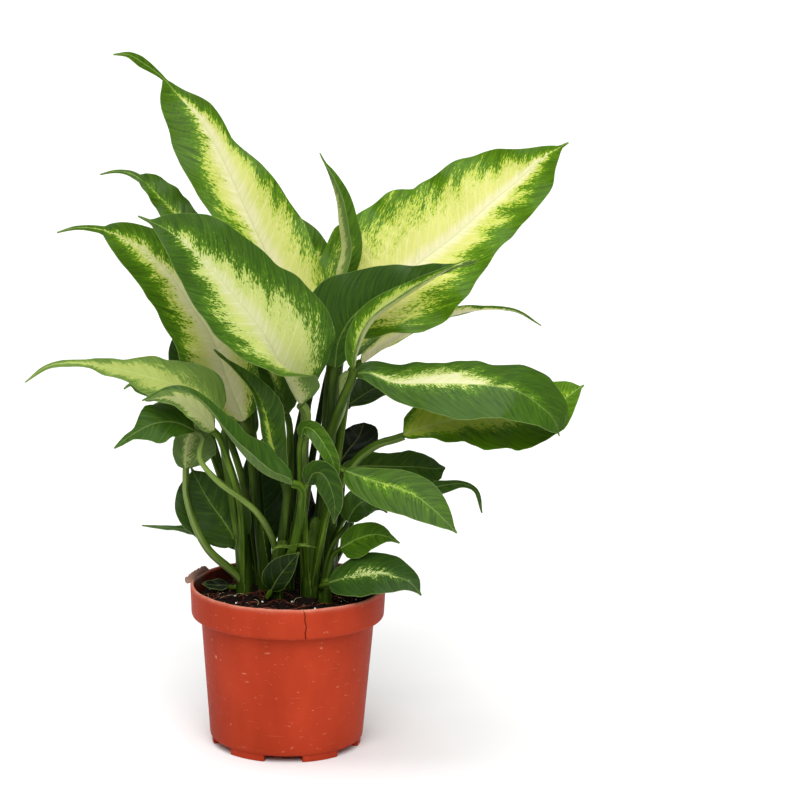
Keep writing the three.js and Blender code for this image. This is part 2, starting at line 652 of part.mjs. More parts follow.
// Least half width: the neck at the stalk, and the tail that the tip is drawn out into.
function leastHalf({ drip, tail }, s) {
  const neck = mixNumbers(BASE_HALF_WIDTH, TIP_HALF_WIDTH, s);
  if (s < 1 - 2 * drip) return neck;
  return Math.max(neck, along([TIP_HALF_WIDTH, ...tail], (1 - s) / drip, mixNumbers));
}

// Cross-section frame of a blade at the share s: place on the midrib, direction of growth, upward
// side and sideways direction.
function ribFrame(leaf, curve, s) {
  const ahead = curve.getTangentAt(s).normalize();
  const upper = along(leaf.face, s, mixVectors);
  upper.addScaledVector(ahead, -upper.dot(ahead)).normalize();
  const sideways = new THREE.Vector3().crossVectors(ahead, upper);
  return { place: curve.getPointAt(s), ahead, upper, sideways };
}

const ribCurve = (leaf) => new THREE.CatmullRomCurve3(leaf.rib.map(seen), false, "centripetal");

// Point of the blade's middle surface: side is -1 or 1, reach runs from the midrib (0) to the margin (1).
function bladePoint(leaf, frame, s, side, reach) {
  const share = outline(s, leaf);
  const widths = side < 0 ? leaf.left : leaf.right;
  const folds = side < 0 ? leaf.foldLeft : leaf.foldRight;
  const half = Math.max(along(widths, s, mixNumbers) * share, leastHalf(leaf, s));
  const fold = THREE.MathUtils.degToRad(along(folds, s, mixNumbers)) * Math.min(share * FOLD_ONSET, 1);
  const [height, cycles, start] = leaf.wave;
  const phase = 2 * Math.PI * (cycles * s + start + (side > 0 ? WAVE_OFFSET : 0));
  const ripple = height * reach * reach * Math.min(share * WAVE_ONSET, 1) * Math.sin(phase);
  return frame.place
    .clone()
    .addScaledVector(frame.sideways, side * half * reach * Math.cos(fold))
    .addScaledVector(frame.upper, half * reach * Math.sin(fold) + ripple);
}

// A blade: two faces of rows and columns with the same diagonals, closed along the margins and ends.
function bladeGeometry(leaf) {
  const curve = ribCurve(leaf);
  const rows = leaf.steps + 1;
  const columns = 2 * STRIPS_PER_HALF + 1;
  const middle = [];
  const keels = [];
  for (let r = 0; r < rows; r += 1) {
    const s = r / leaf.steps;
    const frame = ribFrame(leaf, curve, s);
    keels.push(frame.upper.clone().multiplyScalar(-KEEL_DEPTH * (1 - s)));
    for (let c = 0; c < columns; c += 1) {
      const reach = (c - STRIPS_PER_HALF) / STRIPS_PER_HALF;
      middle.push(bladePoint(leaf, frame, s, Math.sign(reach) || 1, Math.abs(reach)));
    }
  }
  const at = (r, c) => middle[r * columns + c];
  const upper = [];
  const lower = [];
  for (let r = 0; r < rows; r += 1) {
    for (let c = 0; c < columns; c += 1) {
      const onward = at(Math.min(r + 1, rows - 1), c).clone().sub(at(Math.max(r - 1, 0), c));
      const across = at(r, Math.min(c + 1, columns - 1)).clone().sub(at(r, Math.max(c - 1, 0)));
      const normal = across.cross(onward).normalize();
      upper.push(at(r, c).clone().addScaledVector(normal, BLADE_THICKNESS / 2));
      const under = at(r, c).clone().addScaledVector(normal, -BLADE_THICKNESS / 2);
      if (c === STRIPS_PER_HALF) under.add(keels[r]);
      lower.push(under);
    }
  }
  return closedSheet(upper, lower, rows, columns);
}

// Solid between an upper and a lower net of the same rows and columns.
function closedSheet(upper, lower, rows, columns) {
  const below = upper.length;
  const faces = [];
  const quad = (a, b, c, d) => faces.push(a, b, c, a, c, d);
  const up = (r, c) => r * columns + c;
  const down = (r, c) => below + r * columns + c;
  for (let r = 0; r < rows - 1; r += 1) {
    for (let c = 0; c < columns - 1; c += 1) {
      quad(up(r, c), up(r, c + 1), up(r + 1, c + 1), up(r + 1, c));
      faces.push(down(r, c), down(r + 1, c + 1), down(r, c + 1));
      faces.push(down(r, c), down(r + 1, c), down(r + 1, c + 1));
    }
    quad(up(r, 0), up(r + 1, 0), down(r + 1, 0), down(r, 0));
    const edge = columns - 1;
    quad(up(r + 1, edge), up(r, edge), down(r, edge), down(r + 1, edge));
  }
  const last = rows - 1;
  for (let c = 0; c < columns - 1; c += 1) {
    quad(up(0, c + 1), up(0, c), down(0, c), down(0, c + 1));
    quad(up(last, c), up(last, c + 1), down(last, c + 1), down(last, c));
  }
  const geometry = new THREE.BufferGeometry().setFromPoints([...upper, ...lower]);
  geometry.setIndex(faces);
  return geometry;
}

// Round rod along a curve, narrowing from one radius to the other, with flat ends.
function rodGeometry(curve, startRadius, endRadius, steps, sides) {
  const geometry = new THREE.CylinderGeometry(1, 1, 1, sides, steps);
  const frames = curve.computeFrenetFrames(steps, false);
  const position = geometry.getAttribute("position");
  for (let i = 0; i < position.count; i += 1) {
    const step = Math.round((position.getY(i) + 0.5) * steps);
    const radius = mixNumbers(startRadius, endRadius, step / steps);
    const point = curve
      .getPointAt(step / steps)
      .addScaledVector(frames.normals[step], position.getX(i) * radius)
      .addScaledVector(frames.binormals[step], position.getZ(i) * radius);
    position.setXYZ(i, point.x, point.y, point.z);
  }
  return geometry;
}

function solidOf(geometry) {
  const bare = geometry.clone();
  bare.deleteAttribute("normal");
  bare.deleteAttribute("uv");
  const merged = mergeVertices(bare, WELD_DISTANCE);
  const mesh = new wasm.Mesh({
    numProp: 3,
    vertProperties: merged.getAttribute("position").array,
    triVerts: new Uint32Array(merged.index.array),
  });
  const solid = new wasm.Manifold(mesh);
  if (solid.volume() > 0) return solid;
  merged.index.array.reverse();
  return solidOf(merged);
}

function geometryOf(solid) {
  const mesh = solid.getMesh();
  const geometry = new THREE.BufferGeometry();
  geometry.setAttribute("position", new THREE.BufferAttribute(mesh.vertProperties, mesh.numProp));
  geometry.setIndex(new THREE.BufferAttribute(mesh.triVerts, 1));
  return geometry;
}

const joined = (solids) => solids.reduce((whole, piece) => whole.add(piece));

function uprightRod(x, y, bottom, top, radius, sides) {
  const geometry = new THREE.CylinderGeometry(radius, radius, top - bottom, sides);
  geometry.rotateX(Math.PI / 2);
  geometry.translate(x, y, (bottom + top) / 2);
  return solidOf(geometry);
}

// Where a cane stands on the soil.
function canePlace(shoot) {
  const [low, high] = [seen([shoot.across, 0, shoot.back]), seen([shoot.across, SOIL_TOP, shoot.back])];
  return new THREE.Vector2((low.x + high.x) / 2, shoot.back);
}

// A stalk rises inside its cane, then through its own points to just short of its blade.
function stalkSolid(leaf, shoot) {
  const place = canePlace(shoot);
  const [first, ...rest] = leaf.stalk.map(seen);
  const offset = new THREE.Vector2(first.x, first.y).sub(place);
  offset.clampLength(0, Math.max(shoot.radius * CANE_FLAT - leaf.girth, 0));
  const foot = place.clone().add(offset);
  const curve = ribCurve(leaf);
  const { place: base, ahead, upper } = ribFrame(leaf, curve, 0);
  const centre = base.clone().addScaledVector(upper, -KEEL_DEPTH / 2);
  const points = [
    new THREE.Vector3(foot.x, foot.y, STALK_START),
    new THREE.Vector3(foot.x, foot.y, CANE_TOP),
    ...rest,
    centre.clone().addScaledVector(ahead, -NECK_LENGTH),
    centre.clone().addScaledVector(ahead, -NECK_GAP),
  ];
  const path = new THREE.CatmullRomCurve3(points, false, "centripetal");
  const steps = Math.max(Math.round(path.getLength() / STALK_STEP), STALK_LEAST_STEPS);
  const rod = rodGeometry(path, leaf.girth, leaf.girth * STALK_TAPER, steps, STALK_SIDES);
  return solidOf(rod);
}

// The stalk feet clasp each other in a leaning column above the cane.
function sheathSolid(shoot) {
  const { x, y } = canePlace(shoot);
  const [across, back] = shoot.lean;
  const path = new THREE.CatmullRomCurve3([
    new THREE.Vector3(x, y, STALK_START),
    new THREE.Vector3(x, y, CANE_TOP),
    new THREE.Vector3(x + across / SHEATH_BEND, y + back / SHEATH_BEND, CANE_TOP + shoot.rise / 2),
    new THREE.Vector3(x + across, y + back, CANE_TOP + shoot.rise),
  ]);
  const foot = shoot.radius * CANE_FLAT;
  return solidOf(rodGeometry(path, foot, foot * SHEATH_TAPER, SHEATH_STEPS, SHEATH_SIDES));
}

function shootSolid(name) {
  const shoot = SHOOTS[name];
  const place = canePlace(shoot);
  const cane = uprightRod(place.x, place.y, CANE_FOOT, CANE_TOP, shoot.radius, HOLE_SIDES);
  const stalks = LEAVES.filter((leaf) => leaf.shoot === name).map((leaf) => stalkSolid(leaf, shoot));
  return joined([cane, sheathSolid(shoot), ...stalks]);
}

function lathe(profile, segments) {
  const points = profile.map(([r, z]) => new THREE.Vector2(r, z));
  const geometry = new THREE.LatheGeometry(points, segments);
  geometry.rotateX(Math.PI / 2);
  return solidOf(geometry);
}

// The pot's wall, floor and rim band in one turned profile, then its feet, boss and drain holes.
function potSolid() {
  const rimInner = RIM_LOWER_RADIUS - POT_WALL;
  const neckInner = NECK_RADIUS - POT_WALL;
  const floorTop = FLOOR_BOTTOM + FLOOR_THICKNESS;
  const shell = lathe(
    [
      [0, FLOOR_BOTTOM],
      [FLOOR_RADIUS - EDGE_ROUND, FLOOR_BOTTOM],
      [FLOOR_RADIUS, FLOOR_BOTTOM + EDGE_ROUND],
      [NECK_RADIUS, RIM_BAND_FOOT - EDGE_ROUND],
      [RIM_LOWER_RADIUS - EDGE_ROUND, RIM_BAND_FOOT - EDGE_ROUND / 2],
      [RIM_LOWER_RADIUS - EDGE_ROUND / 4, RIM_BAND_FOOT],
      [RIM_LOWER_RADIUS, RIM_BAND_FOOT + EDGE_ROUND],
      [RIM_RADIUS, POT_HEIGHT - EDGE_ROUND],
      [RIM_RADIUS - EDGE_ROUND / 4, POT_HEIGHT - EDGE_ROUND / 4],
      [RIM_RADIUS - EDGE_ROUND, POT_HEIGHT],
      [rimInner + EDGE_ROUND / 4, POT_HEIGHT - EDGE_ROUND / 2],
      [rimInner, RIM_BAND_FOOT + POT_WALL],
      [neckInner, RIM_BAND_FOOT],
      [FLOOR_RADIUS - POT_WALL, floorTop],
      [0, floorTop],
    ],
    POT_SEGMENTS,
  );
  const boss = uprightRod(0, 0, 0, FLOOR_BOTTOM + FOOT_SINK, BOSS_RADIUS, BOSS_SIDES);
  const feet = [];
  for (let i = 0; i < FOOT_COUNT; i += 1) {
    const start = FOOT_START + (i * 2 * Math.PI) / FOOT_COUNT;
    const sector = new THREE.Shape();
    sector.absarc(0, 0, FOOT_OUTER, start, start + FOOT_ARC, false);
    sector.absarc(0, 0, FOOT_INNER, start + FOOT_ARC, start, true);
    sector.closePath();
    const geometry = new THREE.ExtrudeGeometry(sector, {
      depth: FLOOR_BOTTOM + FOOT_SINK,
      bevelEnabled: false,
      curveSegments: FOOT_SEGMENTS,
    });
    feet.push(solidOf(geometry));
  }
  let pot = joined([shell, boss, ...feet]);
  for (let i = 0; i < DRAIN_COUNT; i += 1) {
    const turn = ((i + 0.5) * 2 * Math.PI) / DRAIN_COUNT;
    const x = DRAIN_CIRCLE * Math.cos(turn);
    const y = DRAIN_CIRCLE * Math.sin(turn);
    const low = FLOOR_BOTTOM - DRAIN_OVERCUT;
    const drain = uprightRod(x, y, low, floorTop + DRAIN_OVERCUT, DRAIN_RADIUS, DRAIN_SIDES);
    pot = pot.subtract(drain);
  }
  return pot;
}

// The root ball fills the pot a hair short of its wall, with one plain round hole for each cane.
function soilSolid() {
  const floor = FLOOR_BOTTOM + FLOOR_THICKNESS + GAP;
  const inset = POT_WALL + GAP;
  const edge = RIM_LOWER_RADIUS - inset;
  let soil = lathe(
    [
      [0, floor],
      [FLOOR_RADIUS - inset, floor],
      [NECK_RADIUS - inset, RIM_BAND_FOOT + GAP],
      [edge, RIM_BAND_FOOT + POT_WALL + GAP],
      [edge, SOIL_EDGE],
      [edge * SHOULDER_SHARE, SOIL_SHOULDER],
      [edge * CROWN_SHARE, SOIL_TOP],
      [0, SOIL_TOP],
    ],
    SOIL_SEGMENTS,
  );
  for (const shoot of Object.values(SHOOTS)) {
    const { x, y } = canePlace(shoot);
    const bottom = CANE_FOOT - GAP;
    const hole = uprightRod(x, y, bottom, bottom + HOLE_DEPTH, shoot.radius + GAP, HOLE_SIDES);
    soil = soil.subtract(hole);
  }
  return soil;
}

function mesh(name, geometry, color, roughness) {
  const material = new THREE.MeshStandardMaterial({ color, roughness, metalness: 0, flatShading: true });
  const piece = new THREE.Mesh(geometry, material);
  piece.name = name;
  return piece;
}

const plant = new THREE.Group();
plant.add(mesh("pot", geometryOf(potSolid()), "#be4a30", 0.42));
plant.add(mesh("soil", geometryOf(soilSolid()), "#1e120c", 1));
for (const name of Object.keys(SHOOTS)) {
  plant.add(mesh(`shoot_${name}`, geometryOf(shootSolid(name)), "#66883a", 0.5));
}
for (const leaf of LEAVES) {
  plant.add(mesh(leaf.name, bladeGeometry(leaf), TONES[leaf.tone], 0.42));
}

export default plant;
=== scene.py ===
"""Potted dieffenbachia: a red nursery pot, its soil, the leafy shoots and their blades."""
import math
from functools import partial

import bmesh
import bpy
import numpy as np
from bpy.props import FloatProperty, FloatVectorProperty, PointerProperty
from mathutils import Matrix, Vector
from mathutils.kdtree import KDTree


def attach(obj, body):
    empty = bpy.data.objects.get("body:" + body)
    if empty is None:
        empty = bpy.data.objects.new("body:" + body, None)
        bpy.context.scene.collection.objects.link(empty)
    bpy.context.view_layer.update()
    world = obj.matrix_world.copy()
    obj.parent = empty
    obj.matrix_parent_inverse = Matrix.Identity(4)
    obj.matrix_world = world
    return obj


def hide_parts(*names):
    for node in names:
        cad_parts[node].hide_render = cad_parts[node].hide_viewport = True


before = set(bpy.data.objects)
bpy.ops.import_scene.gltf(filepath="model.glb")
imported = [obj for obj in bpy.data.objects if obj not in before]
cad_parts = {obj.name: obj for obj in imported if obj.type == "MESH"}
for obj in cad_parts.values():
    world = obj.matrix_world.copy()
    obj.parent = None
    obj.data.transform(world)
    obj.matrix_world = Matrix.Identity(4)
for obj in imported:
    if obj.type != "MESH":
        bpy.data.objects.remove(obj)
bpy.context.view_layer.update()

bl_info = {
    "name": "Potted Dieffenbachia",
    "version": (1, 0, 0),
    "blender": (4, 5, 0),
    "location": "View3D > Sidebar > Plant",
    "description": "Builds a potted dieffenbachia with waved, variegated blades around its frame",
    "category": "Add Mesh",
}

MM = 0.001

# The eye that the plant's shape points are given from, in millimetres (see the blades below).
EYE = np.array([66.6, -1665.3, 558.4])

# Pot, in millimetres
RIM_RADIUS = 60.0
RIM_LOWER_RADIUS = 59.3
POT_HEIGHT = 100.0
RIM_BAND_FOOT = 81.5
WALL_FOOT = 6.5
WALL_TOP = 79.2
BAND_FOOT = 83.2
BAND_TOP = 98.2
NECK_RADIUS = 53.3
FLOOR_RADIUS = 47.4
POT_WALL = 1.6
FLOOR_BOTTOM = 4.0
FLOOR_THICKNESS = 2.0
FOOT_COUNT = 6
FOOT_START = math.radians(-135)
FOOT_ARC = math.radians(30)
FOOT_OUTER = 46.0
FOOT_INNER = 42.6
BOSS_RADIUS = 9.0
# Feet and boss end inside the floor at this height.
FOOT_ROOT = 4.6
DRAIN_COUNT = 6
DRAIN_RING = 29.0
DRAIN_RADIUS = 4.5
SOIL_RADIUS = RIM_LOWER_RADIUS - POT_WALL - 0.3
SOIL_EDGE = 90.0
SOIL_SHOULDER = 93.0
SOIL_TOP = 95.0
SOIL_CREST = 97.5
# Loose crumbs start within the first distance of the axis, fibres start within the second and end
# within the third.
CRUMB_REACH = 55.5
FIBRE_REACH = 52.0
FIBRE_END = 56.0
FIBRE_STEPS = 8
# A full turn and its quarters, for random directions and for the fibres' square section.
FULL_TURN = 6.28
QUARTERS = (0, 1.57, 3.14, 4.71)

# Shoots and blades, in millimetres
CANE_FOOT = 62.0
CANE_TOP = 101.0
STALK_START = 96.0
STALK_TAPER = 0.8
SHEATH_TAPER = 0.7
NECK_LENGTH = 6.0
NECK_GAP = 0.15
KEEL_DEPTH = 2.0
BASE_HALF_WIDTH = 1.4
TIP_HALF_WIDTH = 0.5
WAVE_OFFSET = 0.37

# Canes: place across and behind, radius, height of the sheath column above it, and its lean.
SHOOTS = {
    "left": (-27, -1, 5.5, 40, (-4, -4)),
    "inner": (-14, 4, 5, 40, (-2, -2)),
    "middle": (-17, 20, 6, 40, (-3, 0)),
    "front": (-7, -12, 4.5, 32, (4, -8)),
    "centre": (-1, 7, 5, 40, (5, -4)),
    "right": (13, -8, 6, 45, (4, -5)),
    "outer": (22, 10, 6.5, 45, (4, 0)),
    "low": (23, -18, 4.5, 8, (1, 0)),
    "back": (6, 36, 5, 30, (2, 2)),
    "rear_left": (-16, 36, 4.5, 25, (0, 3)),
    "rear_right": (26, 32, 4.5, 25, (2, 3)),
}

# Blades. The rib gives points of the midrib from base to tip, each across, up and behind, as seen
# from the eye, and the face the way its upper side looks at even steps. The left and right lists are
# half widths from base to tip, left and right as seen from above with the tip away. The folds tilt
# each half up or down, in degrees; the wave is the margin's height, number of waves and start. The
# belly is where the blade is widest, the point how fast it narrows to the tip, and the drip the share
# of its length that the thin tip takes. The stalk runs from the cane to the blade's base.
# The heart lists say where the cream ends on each half, as a share of its half width; a negative share
# has no cream. The mood is how bright and young the blade is, partly as painted light, with painted
# shade below zero; how blue, as a painted bluish sheen; and how lime the blade is. The tone of its
# stalk goes from dark, old and in painted shade (-1) to pale, striped and in painted light (1).
# A turned blade shows its under skin.
# USUAL holds what a blade has where its own entry says nothing; its right half is then like its left.
USUAL = dict(belly=0.4, point=0.8, drip=0.05, tail=(0.9, 1.2), wave=(0.4, 3, 0.3), foldLeft=(10,),
             foldRight=(10,), tone=0.0, turned=False)
BLADES = [
    dict(name="leaf_top_left", shoot="centre", girth=4, belly=0.32, point=0.6, drip=0.17, tail=(3.4, 1.2),
         wave=(1.5, 4, 0.1), mood=(0.45, 0.05, 0.1), tone=-0.3,
         rib=((12, 252, 12), (3, 272, 16), (-9, 292, 21), (-19, 312, 26), (-28, 331, 31), (-41, 359, 38),
              (-55, 384, 43), (-68, 398, 46), (-78, 409, 45), (-89, 417, 40), (-98, 422, 36),
              (-107, 422, 32)), face=((0.1, -1, 0.4), (0, -1, 0.5)),
         left=(28, 28, 26, 20, 24, 27, 33, 36, 38, 40, 40),
         right=(26, 27, 28, 29, 27, 23, 14, 19, 12, 10, 10), foldLeft=(60, 52, 12, 0, 0),
         foldRight=(5, 5, 10),
         heartLeft=(0.55, 0.7, 0.7, 0.5, 0.55, 0.6, 0.5, 0.25, 0.05, -0.3, -0.5, -0.5),
         heartRight=(0.6, 0.85, 0.88, 0.8, 0.75, 0.72, 0.7, 0.65, 0.35, -0.2, -0.5, -0.5),
         stalk=((-4, 98, 16), (2, 170, 14))),
    dict(name="leaf_top_right", shoot="outer", girth=4.2, belly=0.34, point=0.7, drip=0.03,
         wave=(2, 5, 0.1), mood=(0.6, 0, 0), tone=0.1,
         rib=((32, 258, 20), (46, 273, 26), (62, 287, 31), (77, 301, 36), (98, 318, 42), (118, 337, 47),
              (136, 353, 50), (150, 366, 50), (164, 375, 46)), face=((0, -1, 0.4), (-0.1, -1, 0.6)),
         left=(50, 54, 54, 48, 47, 42, 42, 44, 41, 25, 20),
         right=(34, 34, 42, 42, 40, 34, 32, 34, 39, 42, 40), foldLeft=(5, 5), foldRight=(30, 18, 20, 12, 5),
         heartLeft=(0.4, 0.66, 0.74, 0.74, 0.72, 0.7, 0.66, 0.58, 0.35, -0.1),
         heartRight=(0.4, 0.6, 0.62, 0.6, 0.58, 0.56, 0.52, 0.42, 0.2, -0.2),
         stalk=((16, 99, 20), (22, 180, 18))),
    dict(name="leaf_front_left", shoot="centre", girth=4, belly=0.35, point=0.75, wave=(1.2, 4, 0.1),
         mood=(0.2, 0.3, 0.15), tone=0.3,
         rib=((7, 212.5, -20), (3, 218.5, -23), (-2, 228, -27), (-7, 238, -31), (-17.5, 257, -37),
              (-34.5, 278.5, -42), (-55, 301.5, -46), (-74.5, 317.5, -48), (-92.5, 326, -50)),
         face=((0.3, -1, 0.5), (0, -1, 0.5)), left=(26, 28, 30, 28, 24),
         right=(36, 40, 43, 41, 38, 34, 35, 36, 42, 36, 30),
         foldLeft=(140, 120, 60, 30, 20, 15, 10, 10, 10), foldRight=(5, 5),
         heartLeft=(0.3, 0.4, 0.6, 0.7, 0.6, 0.5, 0.3, 0.1, -0.2, -0.5),
         heartRight=(0.3, 0.6, 0.66, 0.62, 0.52, 0.42, 0.32, 0.2, -0.05, -0.5),
         stalk=((0.5, 98.5, -2), (8, 153, -12), (8, 184.5, -17))),
    dict(name="leaf_left_mid", shoot="inner", girth=3.4, belly=0.36, point=0.7, drip=0.15, tail=(1.4, 2.4),
         wave=(1.2, 4, 0.1), mood=(0.3, 0.1, 0.15), tone=-0.3,
         rib=((-28, 202, 8), (-38, 226, 6), (-47, 251, 1), (-61, 273, -5), (-76, 294, -10), (-94, 308, -15),
              (-110, 316, -20), (-120, 318, -23), (-130, 318, -27), (-141, 315, -32)),
         face=((0.1, -1, 0.4), (0, -1, 0.5)), left=(20, 23, 26, 26, 23, 23, 26, 28, 34, 30, 30),
         right=(22, 23, 22, 20, 20, 20, 20, 24, 28, 28, 28), foldLeft=(20, 15, 10), foldRight=(10, 10, 20),
         heartLeft=(0.85, 0.85, 0.8, 0.65, 0.5, 0.4, 0.3, 0.15, -0.1, -0.5),
         heartRight=(0.5, 0.75, 0.75, 0.6, 0.45, 0.3, 0.2, 0, -0.4), stalk=((-17, 98, 6), (-20, 150, 4))),
    dict(name="leaf_spear", shoot="outer", girth=3.4, belly=0.45, point=0.9, drip=0.04, wave=(0, 3, 0),
         mood=(0.6, 0.2, 0.6), tone=-0.2,
         rib=((31, 266, 12), (28, 290, 13), (31, 308, 14), (29, 323, 14), (27, 338, 15), (22, 353, 16),
              (16, 366, 18)), face=((0.9, -0.35, 0), (0.9, -0.35, 0)), left=(10, 11, 9), right=(10, 12, 10),
         foldLeft=(50,), foldRight=(52,), heartLeft=(0.2, 0.4, 0.5, 0.2, -0.2),
         heartRight=(0.1, 0.3, 0.1, -0.4), stalk=((14, 99, 4), (24, 180, 6))),
    dict(name="leaf_top_back", shoot="back", girth=2.4, wave=(0.6, 3, 0), mood=(0.3, 0.1, 0.3), tone=-0.8,
         rib=((14, 258, 44), (13, 288, 52), (8, 310, 60), (-4, 332, 70)), face=((0, -1, 0.3),), left=(16,),
         heartLeft=(0.3, 0.4, 0.4, 0.2, -0.4), stalk=((4, 103, 36), (8, 180, 38))),
    dict(name="leaf_centre_dark", shoot="right", girth=3.2, wave=(1.2, 4, 0.2), mood=(-0.12, 0.35, 0.7),
         tone=-0.7,
         rib=((27, 236, -7), (29, 252, -3), (37, 267, 0), (54, 280, 1), (80, 292, -1), (112, 303, -7)),
         face=((-0.2, -1, 0.3), (0, -1, 0.8)), left=(34, 30, 18, 10, 7), right=(14, 12, 8, 4, 3),
         foldLeft=(30, 20, 10), foldRight=(20,), heartLeft=(-0.4,), heartRight=(-0.4, -0.1, -0.1, -0.4),
         stalk=((15, 99, -4), (22, 170, -6))),
    dict(name="leaf_centre_fold", shoot="right", girth=3.4, belly=0.38, wave=(0.6, 3, 0),
         mood=(0.3, 0.1, 0.6), tone=-0.6,
         rib=((38, 235, -21), (40.5, 247, -19), (49.5, 265, -17), (65.5, 278, -17), (81.5, 289, -18),
              (94.5, 297.5, -20), (106, 303, -23)), face=((-0.3, -1, 0.2), (0, -1, 0.5)),
         left=(9, 11, 10, 8, 6, 5), right=(9, 9, 7), foldRight=(90, 92, 96),
         heartLeft=(0.1, 0.5, 0.6, 0.5, 0.2), heartRight=(0.3, 0.7, 0.8, 0.7, 0.3),
         stalk=((18.5, 99.5, -8), (20, 153.5, -12), (23.5, 189, -16), (31, 213.5, -19))),
    dict(name="leaf_right_pale", shoot="outer", girth=3.4, point=0.9, drip=0.2, tail=(1.6, 2.6),
         wave=(0.6, 3, 0), mood=(0.4, 0.1, 0), turned=True,
         rib=((42, 240, 34), (62, 254, 42), (85, 266, 50), (110, 273, 58), (135, 273, 62), (151, 264, 60)),
         face=((0, 0.6, 1), (0, 0.7, 1)), left=(20, 20, 12, 4, 3), right=(12, 12, 8, 4, 3), foldRight=(20,),
         heartLeft=(0.9, 0.9, 0.8, 0.6, 0.3, 0), stalk=((22, 100, 14), (30, 190, 24))),
    dict(name="leaf_right_broad", shoot="outer", girth=4, belly=0.45, point=0.5, drip=0.02,
         wave=(1, 4, 0.3), mood=(0.15, 0.25, -1), tone=0.8,
         rib=((38, 232, -6), (46, 233, -8), (62, 227, -12), (85, 227, -17), (106, 227, -21),
              (122, 226, -24), (138, 223, -27), (152, 214, -29), (160, 206, -30), (164, 196, -30)),
         face=((0, -0.45, 1), (0.1, -0.45, 1), (0.8, -0.5, 1)), left=(26, 27, 27, 27, 28, 37, 58, 80),
         right=(8, 12, 19, 27, 29, 29, 28, 26), foldLeft=(-4,), foldRight=(-12,),
         heartLeft=(-0.3, 0.2, 0.5, 0.55, 0.5, 0.1, -0.1, -0.2, -0.4),
         heartRight=(-0.3, -0.1, 0.05, 0.1, 0.05, -0.2, -0.25, -0.3, -0.4),
         stalk=((19.5, 99.5, 8), (20, 159.5, 8), (22.5, 189, 6), (30.5, 210.5, 2))),
    dict(name="leaf_right_under", shoot="outer", girth=3.2, belly=0.45, point=0.6, drip=0.02,
         wave=(1.2, 5, 0.3), mood=(0.75, 0, 0.95), tone=0.25,
         rib=((69, 195, 2), (85, 201, 0), (104, 206, 0), (130, 208, 2), (155, 212, 6), (178, 228, 10)),
         face=((0, -0.4, 1), (0, -0.5, 1)), left=(28, 30, 30), right=(10, 14, 20, 25, 28, 27, 21, 14),
         foldLeft=(25, 15), foldRight=(-14,), heartLeft=(0.4, 0.8, 0.7, 0.5, 0.4, 0.3, 0.1, -0.2),
         heartRight=(0.5, 0.6, 0.4, 0.25, 0.1, -0.1, -0.4),
         stalk=((24, 99, 10), (26, 150, 8), (40, 178, 6), (54, 189, 4))),
    dict(name="leaf_left_long", shoot="left", girth=3.2, belly=0.35, point=1.1, drip=0.22, tail=(2, 3.4),
         wave=(1.4, 4, 0.3), mood=(0.45, 0.05, 0.95), tone=-0.2, turned=True,
         rib=((-42, 206, -25), (-56, 218, -26), (-73, 224, -27), (-91, 229, -28), (-110, 233, -31),
              (-130, 235.5, -34), (-147, 233, -37), (-161, 223, -40)), face=((0, -0.6, 1), (0, -0.5, 1)),
         left=(14, 16, 14, 10, 6, 4), right=(21, 19, 15, 12, 9, 5), foldLeft=(-5,), foldRight=(22, 12, 0),
         heartLeft=(-0.2, 0.1, 0.4, 0.55, 0.5, 0.3, 0, -0.4),
         heartRight=(-0.2, 0.2, 0.45, 0.55, 0.5, 0.3, 0, -0.4),
         stalk=((-27, 96, 0), (-34, 150, -8), (-40, 190, -16))),
    dict(name="leaf_left_arch", shoot="front", girth=3.2, belly=0.45, wave=(0.5, 3, 0.3),
         mood=(0.1, 0.35, 0.5),
         rib=((2, 164, -42), (-14, 170, -45), (-27, 181, -48), (-38, 195, -50), (-50, 210, -51),
              (-62, 219, -52), (-75, 220, -52), (-90, 213, -51)),
         face=((0.6, -0.3, 0.6), (0.3, -0.6, 1), (0, -0.7, 1)), left=(9, 9, 4, 2, 2, 2),
         right=(18, 18, 9, 5, 5, 4), foldLeft=(60, 60, 35, 10), foldRight=(25, 25, 20, 10),
         heartLeft=(-0.3,), stalk=((-6.5, 98.5, -14), (3.5, 124.5, -24), (7.5, 148, -35))),
    dict(name="leaf_left_cream", shoot="left", girth=2.6, wave=(0.5, 3, 0.3), mood=(0.5, 0.25, 0.5),
         turned=True,
         rib=((-46, 196, -33), (-54, 205, -38), (-64, 212, -42), (-76, 215, -46), (-88, 213, -49)),
         face=((0, -0.7, 1), (0, -0.7, 1)), left=(9, 8, 6, 5), right=(10, 9, 8), foldLeft=(-10,),
         heartLeft=(0.6, 0.8, 0.8, 0.6, 0.2, -0.3), stalk=((-28, 96, -4), (-30, 150, -18), (-38, 178, -27))),
    dict(name="leaf_left_hanging", shoot="left", girth=2.6, wave=(0.5, 3, 0.3), mood=(0.3, 0.4, 0.4),
         tone=0.45, rib=((-63, 171, -6), (-63, 182, -2), (-60, 194, 2), (-54, 206, 6)),
         face=((0.1, 1, 0.3),), left=(18,), right=(9,), foldLeft=(5,), heartLeft=(0.1, 0.2, 0.1, -0.4),
         stalk=((-31, 95, -6), (-49, 120, -10), (-58, 137, -10), (-63, 156, -8))),
    dict(name="leaf_left_dark", shoot="inner", girth=2, belly=0.42, point=1, drip=0.2, tail=(2, 3),
         wave=(1.2, 3, 0.3), mood=(0.1, 0.3, 0.5), tone=0.35,
         rib=((-58, 195, -30), (-70, 200, -32), (-82, 199, -35), (-94, 193, -38), (-107, 183, -42)),
         face=((0, -0.8, 1), (0, -0.8, 1)), left=(6, 12, 17, 17, 6), right=(10, 14, 15, 8, 4),
         foldLeft=(0,), foldRight=(5,), heartLeft=(-0.4,),
         stalk=((-7.5, 98.5, 0), (-8.5, 122.5, -14), (-18.5, 143, -26), (-30, 153.5, -32), (-44, 164, -36),
                (-55, 178.5, -36))),
